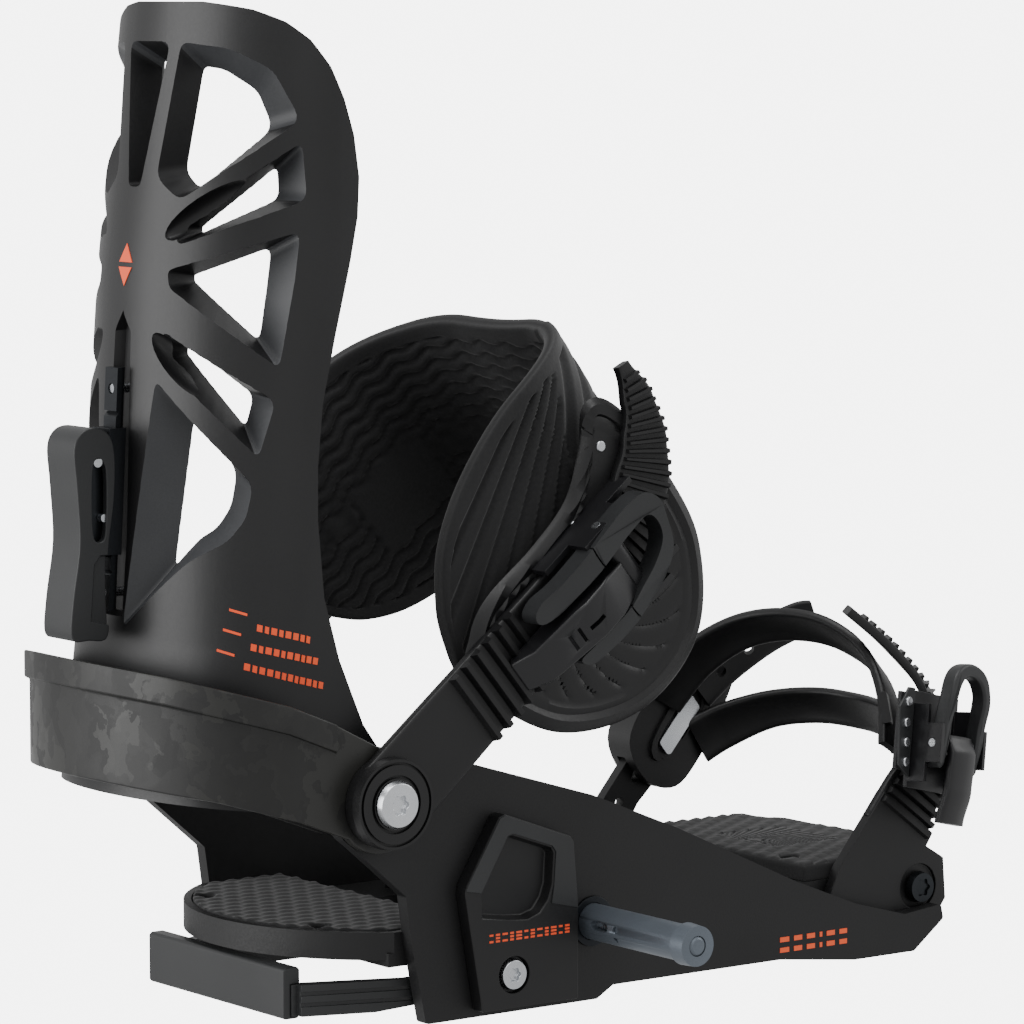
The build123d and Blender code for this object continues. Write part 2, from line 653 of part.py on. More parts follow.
def toe_fasteners():
    """Toe screws, their bushings and the nuts inside the toe beam and the left wall."""
    screw = rod(*TOE_PIVOT, 4.9, -51.6, -TOE_LAYER[1]) + rod(*TOE_PIVOT, 2.5, -TOE_LAYER[1], -37)
    screw -= rod(*TOE_PIVOT, 2.2, -52, -50)
    left = rod(*FAR_PIVOT, 5.0, 43.4, TOE_LAYER[0]) + rod(*FAR_PIVOT, 2.5, TOE_LAYER[0], 56)
    left -= rod(*FAR_PIVOT, 2.2, 43, 44.6)
    bush = rod(*TOE_PIVOT, 3.5, -TOE_LAYER[1], -TOE_LAYER[0]) - rod(*TOE_PIVOT, 2.55, -60, -40)
    bush_left = rod(*FAR_PIVOT, 3.5, *TOE_LAYER) - rod(*FAR_PIVOT, 2.55, 40, 60)
    nut = rod(*TOE_PIVOT, 4.9, -38.9, -35.5) - rod(*TOE_PIVOT, 2.55, -60, -30)
    cap = rod(*FAR_PIVOT, 5.0, WALL_OUT, 57) - rod(*FAR_PIVOT, 2.55, 40, 60)
    return Compound([screw, left]), Compound([bush, bush_left]), Compound([nut, cap])


def toe_anchor():
    """The holed strap from the left wall up to the far block."""
    outline = [(57, 10), (54, 18), (71, 40), (88, 60), (100, 51), (84, 36), (70, 14)]
    body = side(outline, *TOE_LAYER, r=3)
    for k in range(4):
        body -= rod(76.5 + 6.4 * k, 37 + 7.8 * k, 1.6, 40, 60)
    return body - rod(*FAR_PIVOT, 3.6, 40, 60)


def toe_block():
    """The left block that clamps the anchor strap, its steel plate and the holed tail."""
    outline = [(84, 46), (78, 56), (92, 78), (112, 86), (122, 78), (108, 52), (96, 42)]
    block = side(outline, 41.0, 52.5, r=3)
    slot = [(70, 30), (84, 65), (94, 72), (112, 56), (90, 30)]
    block -= side(slot, TOE_LAYER[0] - 0.05, TOE_LAYER[1] + 0.05)
    plate = side([(92, 51), (88, 56), (101, 71), (105, 66)], 39.6, 41.0, r=1.5)
    tail = band(
        [((112, 38.5, 78), (0.6, 0, -0.8), 13), ((126, 33, 88), (0.6, 0, -0.8), 12),
         ((140, 26, 95), (0.6, 0, -0.8), 11)], 2.4)
    return one(block), plate, tail


def toe_webs():
    """The cap strap over the toe: an upper and a lower web from block to buckle plate."""
    upper = [
        ((92, 40.5, 70), 13), ((100, 29, 87), 12), ((108, 10, 96), 12), ((113, -10, 97), 12),
        ((118, -27, 89), 12), ((115, -40, 76), 11), ((109, -47.5, 63), 10),
    ]
    lower = [
        ((106, 40.5, 56), 13), ((116, 33, 62), 12), ((131, 15, 67), 12), ((135, -8, 67), 12),
        ((130, -26, 67), 12), ((119, -37, 71), 11), ((108, -46, 76), 10),
    ]
    upper_band = band([(c, (0.65, 0, -0.76), w) for c, w in upper], 2.6)
    lower_band = band([(c, (0.3, 0, -0.95), w) for c, w in lower], 2.6)
    return upper_band, lower_band


TOE_VIEW = Plane(origin=(121.5, -52.0, 63.0), x_dir=(0.2, 0.12, 0.97), z_dir=(0.25, -0.96, 0.07))


def toe_box(x0, x1, y0, y1, z0, z1):
    """A box in the toe buckle's own frame: along the ladder, across it, and outwards."""
    return TOE_VIEW * box(x0, x1, y0, y1, z0, z1)


def toe_cross(x, z, r, half):
    """A pin across the toe buckle."""
    return TOE_VIEW * (Pos(x, 0, z) * Rot(90, 0, 0) * Cylinder(r, 2 * half))


def toe_buckle():
    """Buckle base, pin, spring, tightening lever and release trigger of the toe strap."""
    base = toe_box(-14, 16, -12.5, 12.5, 0, 1.4)
    for y in (-12.5, 10.9):
        base += toe_box(-12, 12, y, y + 1.6, 0, 7.5) + toe_box(-6, 6, y, y + 1.6, 0, 13)
    base += toe_box(-9, 15, 12.5, 19, 0, 1.4)
    base -= toe_cross(0, 9.5, 1.35, 20)
    pin = toe_cross(0, 9.5, 1.3, 12.5)
    rivets = [toe_box(x - 1.5, x + 1.5, 14.5, 17.5, 1.4, 2.2) for x in (-5, 3, 11)]
    spring = toe_cross(0, 9.5, 2.6, 2.4) - toe_cross(0, 9.5, 1.4, 3)
    lever = toe_box(-4, 24, -10.6, -8.0, 7, 12) + toe_box(-4, 24, 8.0, 10.6, 7, 12)
    lever += toe_box(20, 25, -10.6, 10.6, 7, 12)
    lever -= toe_cross(0, 9.5, 1.4, 20)
    blade = toe_box(-24, 3, -6.6, 6.6, 8.5, 12.5) + toe_cross(0, 9.5, 3.0, 6.6)
    blade -= toe_cross(0, 9.5, 2.8, 2.6) + toe_box(-3.5, 4, -2.6, 2.6, 4, 14)
    blade -= toe_cross(0, 9.5, 1.4, 20)
    return one(base), pin, spring, Compound(rivets), one(lever), one(blade)


def save(name, shape):
    export_step(shape, f"parts/{name}.step")


def main():
    os.makedirs("parts", exist_ok=True)
    named = {"baseplate": baseplate(), "heel_loop": heel_loop(), "highback": highback()}
    named["heel_pad"], named["toe_pad"] = foot_pads()
    named["pad_screws"] = pad_screws()
    named["channel_liners"] = channel_liners()
    named["side_cover_right"] = side_cover(-1)
    named["side_cover_left"] = side_cover(1)
    named["bail_screws"] = bail_screws()
    named["ankle_screws"], named["ankle_nuts"], named["ankle_discs"] = ankle_fasteners()
    named["lean_track"], named["track_screws"] = lean_track()
    slider, hinge, catch, lever = lean_parts()
    named |= {"lean_slider": slider, "lean_hinge_pin": hinge}
    named |= {"lean_catch_pin": catch, "lean_lever": lever}
    named["pin_sleeve"], named["pin_core"], named["pin_cap"] = lock_pin()
    named["pin_bushes"], named["detent_ball"], named["detent_plug"] = pin_guides()
    named["bail_frame"], named["bail_grip"], named["bail_bushes"] = heel_bail()
    named["ankle_pad"] = ankle_pad()
    named["ankle_ladder"] = ankle_ladder()
    named["ankle_far_strap"] = ankle_far_strap()
    named["ankle_shell"], named["ankle_plate"], named["ankle_rivets"] = ankle_shell()
    base, pin, spring, lever, trigger = ankle_buckle()
    named |= {"ankle_buckle_base": base, "ankle_buckle_pin": pin, "ankle_spring": spring}
    named |= {"ankle_lever": lever, "ankle_trigger": trigger}
    named["toe_ladder"] = toe_ladder()
    named["toe_screws"], named["toe_bushes"], named["toe_nuts"] = toe_fasteners()
    named["toe_anchor_strap"] = toe_anchor()
    named["toe_block"], named["toe_block_plate"], named["toe_tail"] = toe_block()
    named["toe_web_upper"], named["toe_web_lower"] = toe_webs()
    base, pin, spring, rivets, lever, trigger = toe_buckle()
    named |= {"toe_buckle_base": base, "toe_buckle_pin": pin, "toe_spring": spring}
    named["toe_rivets"] = rivets
    named |= {"toe_lever": lever, "toe_trigger": trigger}
    for name, shape in named.items():
        save(name, shape)


main()
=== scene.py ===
import json
import math

import bpy
from mathutils import Matrix, Vector, noise

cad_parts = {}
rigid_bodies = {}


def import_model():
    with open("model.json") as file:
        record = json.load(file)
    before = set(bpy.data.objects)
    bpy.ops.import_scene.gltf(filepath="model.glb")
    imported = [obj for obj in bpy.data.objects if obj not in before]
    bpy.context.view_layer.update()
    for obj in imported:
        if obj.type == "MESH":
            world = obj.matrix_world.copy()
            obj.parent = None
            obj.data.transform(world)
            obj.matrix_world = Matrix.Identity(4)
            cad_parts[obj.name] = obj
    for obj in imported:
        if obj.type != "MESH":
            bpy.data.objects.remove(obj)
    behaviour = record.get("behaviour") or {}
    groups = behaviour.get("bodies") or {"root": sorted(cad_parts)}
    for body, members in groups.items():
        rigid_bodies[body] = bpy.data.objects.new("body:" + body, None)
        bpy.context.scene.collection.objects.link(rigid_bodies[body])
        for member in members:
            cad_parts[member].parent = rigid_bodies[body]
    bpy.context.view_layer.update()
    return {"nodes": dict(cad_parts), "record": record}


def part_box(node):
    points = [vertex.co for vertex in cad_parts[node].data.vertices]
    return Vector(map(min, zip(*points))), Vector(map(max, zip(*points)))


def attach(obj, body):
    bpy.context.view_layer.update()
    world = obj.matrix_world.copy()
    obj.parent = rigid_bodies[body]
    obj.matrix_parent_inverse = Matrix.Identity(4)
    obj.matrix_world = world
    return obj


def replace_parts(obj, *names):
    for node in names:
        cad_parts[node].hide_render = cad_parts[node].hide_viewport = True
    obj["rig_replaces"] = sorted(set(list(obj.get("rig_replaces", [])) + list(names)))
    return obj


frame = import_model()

MM = 0.001
BODY_OF = {
    node: body
    for body, nodes in frame["record"]["behaviour"]["bodies"].items()
    for node in nodes
}

# Workshop helpers -------------------------------------------------------------------------


def only(piece):
    """Selects one object and nothing else."""
    if bpy.context.mode != "OBJECT":
        bpy.ops.object.mode_set(mode="OBJECT")
    bpy.ops.object.select_all(action="DESELECT")
    piece.hide_set(False)
    piece.select_set(True)
    bpy.context.view_layer.objects.active = piece


def modified(piece, kind, **settings):
    """Adds a modifier, sets it and applies it."""
    only(piece)
    modifier = piece.modifiers.new(kind.lower(), kind)
    for key, value in settings.items():
        setattr(modifier, key, value)
    bpy.ops.object.modifier_apply(modifier=modifier.name)
    return piece


def placed(piece, place):
    """Moves every vertex of a piece by a function of its own coordinates."""
    for vertex in piece.data.vertices:
        vertex.co = place(*vertex.co)
    piece.data.update()
    return piece


def outward(piece):
    """Merges doubles and turns the faces outwards."""
    only(piece)
    bpy.ops.object.mode_set(mode="EDIT")
    bpy.ops.mesh.select_all(action="SELECT")
    bpy.ops.mesh.remove_doubles(threshold=0.00001)
    bpy.ops.mesh.normals_make_consistent(inside=False)
    bpy.ops.object.mode_set(mode="OBJECT")
    return piece


def smooth(piece, angle=35):
    """Smooth shading that keeps the crisp edges."""
    only(piece)
    bpy.ops.object.shade_smooth_by_angle(angle=math.radians(angle))
    return piece


def rounded(piece, width, segments=2, angle=35):
    """Breaks the edges of a piece, width in millimetres, and shades it."""
    modified(piece, "BEVEL", width=width * MM, segments=segments, limit_method="ANGLE",
             angle_limit=math.radians(angle), use_clamp_overlap=True)
    smooth(piece, angle)
    return modified(piece, "WEIGHTED_NORMAL", keep_sharp=True)


def sheet(name, columns, rows, place):
    """A grid whose points are placed by a function of u and v, each from 0 to 1."""
    bpy.ops.object.select_all(action="DESELECT")
    bpy.ops.mesh.primitive_grid_add(x_subdivisions=columns, y_subdivisions=rows, size=1)
    piece = bpy.context.object
    piece.name = name
    return placed(piece, lambda x, y, z: Vector(place(x + 0.5, y + 0.5)) * MM)


def prism(name, outline, low, high, place, inner=None):
    """An outline extruded from low to high, then placed. inner is the outline at high."""
    bpy.ops.object.select_all(action="DESELECT")
    bpy.ops.mesh.primitive_circle_add(vertices=len(outline), radius=1, fill_type="NGON")
    piece = bpy.context.object
    piece.name = name
    for vertex, (x, y) in zip(piece.data.vertices, outline):
        vertex.co = (x, y, 0)
    bpy.ops.object.mode_set(mode="EDIT")
    bpy.ops.mesh.select_all(action="SELECT")
    bpy.ops.mesh.extrude_region_move(TRANSFORM_OT_translate={"value": (0, 0, 1)})
    bpy.ops.object.mode_set(mode="OBJECT")

    def settle(x, y, z):
        if z > 0.5 and inner:
            nearest = min(range(len(outline)), key=lambda i: math.dist(outline[i], (x, y)))
            x, y = inner[nearest]
        return Vector(place(x, y, high if z > 0.5 else low)) * MM

    return outward(placed(piece, settle))


def carved(piece, cutter, how="DIFFERENCE"):
    """Cuts one mesh with another, which is then gone."""
    modified(piece, "BOOLEAN", operation=how, object=cutter, solver="MANIFOLD")
    bpy.data.objects.remove(cutter)
    return piece


def capped(piece):
    """Closes the two open ends of a swept piece."""
    outward(piece)
    only(piece)
    bpy.ops.object.mode_set(mode="EDIT")
    bpy.ops.mesh.select_all(action="DESELECT")
    bpy.ops.mesh.select_non_manifold()
    bpy.ops.mesh.fill_holes(sides=0)
    bpy.ops.mesh.select_all(action="SELECT")
    bpy.ops.mesh.normals_make_consistent(inside=False)
    bpy.ops.object.mode_set(mode="OBJECT")
    return piece


def joined(name, pieces):
    """Makes one object of several."""
    only(pieces[0])
    for piece in pieces:
        piece.select_set(True)
    if len(pieces) > 1:
        bpy.ops.object.join()
    piece = bpy.context.object
    piece.name = name
    return piece


def widened(outline, by):
    """An outline with each edge moved outwards."""
    count = len(outline)
    area = sum(outline[i - 1][0] * outline[i][1] - outline[i][0] * outline[i - 1][1]
               for i in range(count))
    turn = 1 if area > 0 else -1
    out = []
    for i in range(count):
        before, here, after = outline[i - 1], outline[i], outline[(i + 1) % count]
        a = Vector((here[0] - before[0], here[1] - before[1])).normalized()
        b = Vector((after[0] - here[0], after[1] - here[1])).normalized()
        na, nb = Vector((a.y, -a.x)) * turn, Vector((b.y, -b.x)) * turn
        mid = na + nb
        mid /= max(0.55, mid.length_squared / 2)
        out.append((here[0] + mid.x * by, here[1] + mid.y * by))
    return out


def curved(points, steps):
    """More points along a smooth line through the given ones."""
    out = []
    count = len(points)
    for i in range(count - 1):
        p = [Vector(points[max(0, min(count - 1, i + k))]) for k in (-1, 0, 1, 2)]
        for step in range(steps):
            t = step / steps
            out.append(0.5 * ((2 * p[1]) + (p[2] - p[0]) * t
                              + (2 * p[0] - 5 * p[1] + 4 * p[2] - p[3]) * t * t
                              + (3 * p[1] - p[0] - 3 * p[2] + p[3]) * t ** 3))
    out.append(Vector(points[-1]))
    return out


def closed_curve(points, steps):
    """A smooth closed outline through flat points."""
    count = len(points)
    out = []
    for i in range(count):
        p = [Vector(points[(i + k) % count]) for k in (-1, 0, 1, 2)]
        for step in range(steps):
            t = step / steps
            out.append(tuple(0.5 * ((2 * p[1]) + (p[2] - p[0]) * t
                             + (2 * p[0] - 5 * p[1] + 4 * p[2] - p[3]) * t * t
                             + (3 * p[1] - p[0] - 3 * p[2] + p[3]) * t ** 3)))
    return out


def done(piece, body, slot, material, *nodes, pad=None):
    """Rides a finished piece on its body and tells which CAD nodes it stands for."""
    piece.data.materials.clear()
    piece.data.materials.append(material)
    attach(piece, body)
    if nodes:
        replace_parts(piece, *nodes)
    return piece


def softened(node, material, slot, width=0.4, segments=2, angle=30):
    """A machined or moulded piece from its CAD mesh, with its edges broken."""
    source = frame["nodes"][node]
    piece = source.copy()
    piece.data = source.data.copy()
    for key in list(piece.keys()):
        del piece[key]
    piece.parent = None
    bpy.context.scene.collection.objects.link(piece)
    piece.name = node + ".finished"
    only(piece)
    bpy.ops.object.mode_set(mode="EDIT")
    bpy.ops.mesh.select_all(action="SELECT")
    bpy.ops.mesh.remove_doubles(threshold=0.000002)
    bpy.ops.mesh.dissolve_limited(angle_limit=math.radians(0.6))
    bpy.ops.object.mode_set(mode="OBJECT")
    rounded(piece, width, segments, angle)
    return done(piece, BODY_OF[node], slot, material, node)

# Finishes ---------------------------------------------------------------------------------


def srgb(code, gain=1.0):
    """A linear colour from an sRGB hex value."""
    values = [int(code[i:i + 2], 16) / 255 for i in (1, 3, 5)]
    linear = [v / 12.92 if v <= 0.04045 else ((v + 0.055) / 1.055) ** 2.4 for v in values]
    return (*[v * gain for v in linear], 1.0)


def add(tree, kind, inputs=(), **settings):
    """Adds a node with its settings, and its inputs as values or links."""
    node = tree.nodes.new("ShaderNode" + kind)
    for key, value in settings.items():
        setattr(node, key, value)
    for key, value in dict(inputs).items():
        if isinstance(value, bpy.types.NodeSocket):
            tree.links.new(value, node.inputs[key])
        else:
            node.inputs[key].default_value = value
    return node


def ramp(tree, factor, stops):
    """A colour ramp with its stops."""
    node = add(tree, "ValToRGB", {"Fac": factor})
    band = node.color_ramp
    for i, (place, code) in enumerate(stops):
        stop = band.elements[i] if i < 2 else band.elements.new(place)
        stop.position = place
        stop.color = srgb(code) if isinstance(code, str) else (code, code, code, 1)
    return node.outputs["Color"]


def finish_node(name, colour, roughness, grain, bump, metallic=0.0, ior=None, spread=0.12,
                coat=0.0, sheen=0.0):
    """A moulded, cast or metal finish: tone that drifts, fine grain and worn roughness.

    colour is a pair of hex values, roughness a pair, grain the size in millimetres of the
    surface's texture and bump its height in millimetres."""
    material = bpy.data.materials.new(name)
    material.use_nodes = True
    tree = material.node_tree
    tree.nodes.clear()
    place = add(tree, "TexCoord").outputs["Object"]
    drift = add(tree, "TexNoise", {"Vector": place, "Scale": 18.0, "Detail": 3.0})
    fine = add(tree, "TexNoise", {"Vector": place, "Scale": 1000 / grain, "Detail": 2.0,
                                  "Roughness": 0.6})
    mixed = add(tree, "MapRange", {"Value": drift.outputs["Fac"], "From Min": 0.5 - spread,
                                   "From Max": 0.5 + spread})
    tone = ramp(tree, mixed.outputs["Result"], [(0.0, colour[0]), (1.0, colour[1])])
    speck = add(tree, "Mix", {0: 0.35, "A": tone}, data_type="RGBA", blend_type="OVERLAY")
    tree.links.new(ramp(tree, fine.outputs["Fac"], [(0.3, 0.35), (0.7, 0.65)]),
                   speck.inputs[7])
    tree.links.new(tone, speck.inputs[6])
    gloss = add(tree, "MapRange", {"Value": fine.outputs["Fac"], "From Min": 0.3,
                                   "From Max": 0.7, "To Min": roughness[0],
                                   "To Max": roughness[1]})
    relief = add(tree, "Bump", {"Height": fine.outputs["Fac"], "Strength": 0.6,
                                "Distance": bump * MM})
    shader = add(tree, "BsdfPrincipled", {
        "Base Color": speck.outputs[2], "Roughness": gloss.outputs["Result"],
        "Normal": relief.outputs["Normal"], "Metallic": metallic})
    if ior:
        shader.inputs["IOR"].default_value = ior
    shader.inputs["Coat Weight"].default_value = coat
    shader.inputs["Coat Roughness"].default_value = 0.35
    shader.inputs["Sheen Weight"].default_value = sheen
    shader.inputs["Specular IOR Level"].default_value = 0.5 if metallic > 0.5 else 0.36
    out = add(tree, "OutputMaterial", {"Surface": shader.outputs["BSDF"]})
    return material, tree, shader, out, place


def plain(*args, **settings):
    """The finish without its inner nodes."""
    return finish_node(*args, **settings)[0]


# The openings' sloped sides: the same nylon with a paler base colour, a painted highlight for the
# light these faces catch from the heel side.
SLOPE_PAINTED_LIGHT = plain("polished_nylon_slope", ("#2e2f31", "#38393b"), (0.34, 0.44), 0.5, 0.02, ior=1.53)
# Glass-filled nylon, moulded in a spark-eroded tool: near black, matt, fine even grain.
NYLON = plain("moulded_nylon_black", ("#0b0b0c", "#111112"), (0.42, 0.56), 0.5, 0.03, ior=1.53)
# The same nylon in the highback, from a smoother tool: satin, so that the ribs catch light.
SATIN = plain("satin_nylon_highback", ("#0e0e0f", "#141415"), (0.34, 0.44), 0.45, 0.02,
              ior=1.53)
# Powder-coated magnesium casting: black with a dry, slightly pebbled skin.
CASTING = plain("powder_coated_magnesium", ("#0c0c0d", "#111112"), (0.44, 0.58), 0.7, 0.05,
                ior=1.5)
# Glossier injection-moulded cover with a soft grey frame round its pocket.
COVER = plain("moulded_cover_black", ("#0a0a0b", "#0f0f10"), (0.34, 0.46), 0.4, 0.02, ior=1.53)
# Thermoplastic urethane of the straps and ladders: black, a little waxy.
URETHANE = plain("urethane_strap_black", ("#0c0c0d", "#121213"), (0.36, 0.5), 0.6, 0.03,
                 ior=1.5)
# Moulded EVA foam: soft charcoal, dry, with open grain.
FOAM = plain("moulded_eva_foam", ("#101011", "#171718"), (0.72, 0.88), 1.0, 0.12, ior=1.45,
             sheen=0.15)
# Bead-blasted anodised aluminium in blue grey.
ANODISED = plain("anodised_aluminium_slate", ("#5c636b", "#69717a"), (0.4, 0.5), 0.35, 0.02,
                 metallic=0.55)
# Glass-filled nylon in dark slate, for the bail and the lean lever.
SLATE = plain("moulded_nylon_slate", ("#1f2021", "#262728"), (0.36, 0.48), 0.45, 0.02, ior=1.53)
# Turned and passivated steel: bright, faintly brushed.
STEEL = plain("turned_steel_bright", ("#b9bcc0", "#d2d4d7"), (0.2, 0.34), 0.3, 0.01,
              metallic=1.0)
# Blackened steel pins and springs.
BLACKENED = plain("blackened_steel", ("#26282b", "#34373a"), (0.28, 0.4), 0.3, 0.01,
                  metallic=0.9)
# Dark alloy of the buckles, die cast and painted satin black.
BUCKLE = plain("painted_die_casting", ("#0e0e10", "#141416"), (0.3, 0.42), 0.4, 0.02, ior=1.5,
               coat=0.15)
# Low-friction acetal liner strips: off-white, waxy.
ACETAL = plain("acetal_liner", ("#3a3b3d", "#46474a"), (0.35, 0.5), 0.5, 0.02, ior=1.48)
# Pad-printed ink, satin orange red.
INK = plain("pad_printed_orange", ("#e2481f", "#ec5a2c"), (0.42, 0.55), 0.4, 0.01, ior=1.5)


def forged_carbon():
    """Chopped carbon tow pressed in resin: flakes that each reflect their own way."""
    material, tree, shader, _, place = finish_node(
        "forged_carbon_satin", ("#1b1c1c", "#242525"), (0.36, 0.52), 0.5, 0.02, ior=1.55)
    warp = add(tree, "TexNoise", {"Vector": place, "Scale": 130.0, "Detail": 5.0})
    bent = add(tree, "Mix", {0: 0.02, 4: place}, data_type="VECTOR")
    tree.links.new(warp.outputs["Color"], bent.inputs[5])
    layers = []
    for size, angle in ((17.0, 0.4), (24.0, 1.3), (12.0, 2.2)):
        turned = add(tree, "Mapping", {"Vector": bent.outputs[1], "Rotation": (angle, 0.3, angle),
                                       "Scale": (1.0, 1.7, 0.75)})
        cells = add(tree, "TexVoronoi", {"Vector": turned.outputs["Vector"],
                                         "Scale": 1000 / size})
        layers.append(add(tree, "SeparateColor", {"Color": cells.outputs["Color"]}))
    first = add(tree, "Math", {0: layers[0].outputs[0], 1: layers[1].outputs[1]},
                operation="MULTIPLY")
    second = add(tree, "Math", {0: first.outputs[0], 1: layers[2].outputs[2]},
                 operation="ADD")
    tone = ramp(tree, second.outputs[0], [(0.1, "#0b0b0b"), (0.5, "#111110"),
                                          (0.8, "#181817"), (1.0, "#20201e")])
    tree.links.new(tone, shader.inputs["Base Color"])
    gloss = add(tree, "MapRange", {"Value": second.outputs[0], "From Max": 1.4,
                                   "To Min": 0.55, "To Max": 0.34})
    tree.links.new(gloss.outputs["Result"], shader.inputs["Roughness"])
    return material


CARBON = forged_carbon()

# Highback ---------------------------------------------------------------------------------

# Height, X of the middle of the back, depth and half width of its U section, as in CAD
STAGES = [(54, -149.2, 30, 49.4), (112, -143.1, 34, 49), (216, -137.5, 44, 47.5),
          (300, -127, 36, 45)]
WING = [
    (-170, 70), (-170, 292.3), (-124, 292.2), (-116, 290), (-109, 286.5), (-103, 281.5),
    (-97.5, 274), (-93.5, 265), (-90.5, 255), (-89, 243), (-89.8, 232), (-92.5, 220),
    (-98, 199), (-102.5, 180), (-104.5, 162), (-104.8, 147), (-103, 125), (-98, 107),
    (-90, 88), (-80, 74), (-80, 62), (-92, 55), (-104, 58), (-125, 66),
]
WALL = 3.6
RIB_DEPTH = 9.5


def stage_at(z):
    """Middle X, depth and half width of the shell at height z."""
    for low, high in zip(STAGES, STAGES[1:]):
        if z <= high[0]:
            break
    t = (z - low[0]) / (high[0] - low[0])
    return [low[i] + (high[i] - low[i]) * t for i in (1, 2, 3)]


def on_shell(turn, z, depth=0.0):
    """A point of the shell: degrees round from the middle of the back, height, depth in."""
    back, deep, half = stage_at(z)
    if abs(turn) > 90:
        mid = back + deep
        sign = -1 if turn > 0 else 1
        return (mid + (-74 - mid) * (abs(turn) - 90) / 60, sign * (half - depth), z)
    t = math.radians(turn)
    out = Vector((-half * math.cos(t), -deep * math.sin(t), 0)).normalized()
    return (back + deep * (1 - math.cos(t)) - out.x * depth, -half * math.sin(t) - out.y * depth,
            z)


# Openings between the ribs of the right half: outline on the outside, and how far each edge
# slopes in on its way to the inside. The long slopes are the ones along the rim.
OPENINGS = [
    ([(19, 281), (38, 279), (56, 273), (66, 259), (24, 236.5), (13, 243)],
     (7, 8, 8, 2.5, 2.5, 2)),
    ([(68, 253), (70, 237), (25, 224), (24, 230)], (7, 2.5, 2.5, 2.5)),
    ([(68, 228), (64, 190), (23, 212), (22, 217)], (7, 2.5, 2.5, 2.5)),
    ([(63, 181), (59, 165), (20, 192), (21, 200)], (7, 2.5, 2.5, 2.5)),
    ([(20, 186), (57, 157.5), (55, 148), (49, 142), (34, 135), (9.5, 116)],
     (2.5, 7, 7, 6, 5.5, 8)),
]


def per_degree(z):
    """Millimetres of shell for one degree of turn at height z, about the middle of the side."""
    _, deep, half = stage_at(z)
    return math.radians(1) * (deep + half) / 2


def sloped(outline, slopes):
    """The inner outline of an opening: each edge moved in by its own slope."""
    count = len(outline)
    scale = per_degree(sum(z for _, z in outline) / count)
    flat = [Vector((turn * scale, z)) for turn, z in outline]
    middle = sum(flat, Vector((0, 0))) / count
    lines = []
    for i in range(count):
        a, b = flat[i], flat[(i + 1) % count]
        along = (b - a).normalized()
        inward = Vector((-along.y, along.x))
        if inward.dot(middle - a) < 0:
            inward = -inward
        lines.append((a + inward * slopes[i], along))
    inner = []
    for i in range(count):
        (a, along), (b, onward) = lines[i - 1], lines[i]
        cross = along.x * onward.y - along.y * onward.x
        if abs(cross) < 0.05:
            inner.append(b)
        else:
            gap = b - a
            inner.append(a + along * ((gap.x * onward.y - gap.y * onward.x) / cross))
    return [(p.x / scale, p.y) for p in inner]


def filleted(outline, scale, radius):
    """Rounds the corners of an outline given in turn and height, and divides its edges."""
    flat = [Vector((x * scale, z)) for x, z in outline]
    arcs = []
    count = len(flat)
    for i in range(count):
        before, here, after = flat[i - 1], flat[i], flat[(i + 1) % count]
        a, b = before - here, after - here
        reach = min(radius, a.length * 0.35, b.length * 0.35)
        start, end = here + a.normalized() * reach, here + b.normalized() * reach
        arcs.append([start * (1 - t) ** 2 + here * 2 * t * (1 - t) + end * t * t
                     for t in (0, 0.25, 0.5, 0.75, 1)])
    out = []
    for i, arc in enumerate(arcs):
        onward = arcs[(i + 1) % count][0]
        out += arc + [arc[-1].lerp(onward, k / 7) for k in range(1, 7)]
    return [(p.x / scale, p.y) for p in out]


def opening(shell, outline, slopes, sign):
    """Cuts one opening, wider outside the shell and narrower inside it."""
    scale = per_degree(sum(z for _, z in outline) / len(outline))
    near = filleted(sloped(outline, [-0.8 * s for s in slopes]), scale, 3.5)
    far = filleted(sloped(outline, [1.15 * s for s in slopes]), scale, 3.5)
    carved(shell, prism("opening", [(sign * t, z) for t, z in near], -8.0, 11.5, on_shell,
                        [(sign * t, z) for t, z in far]))


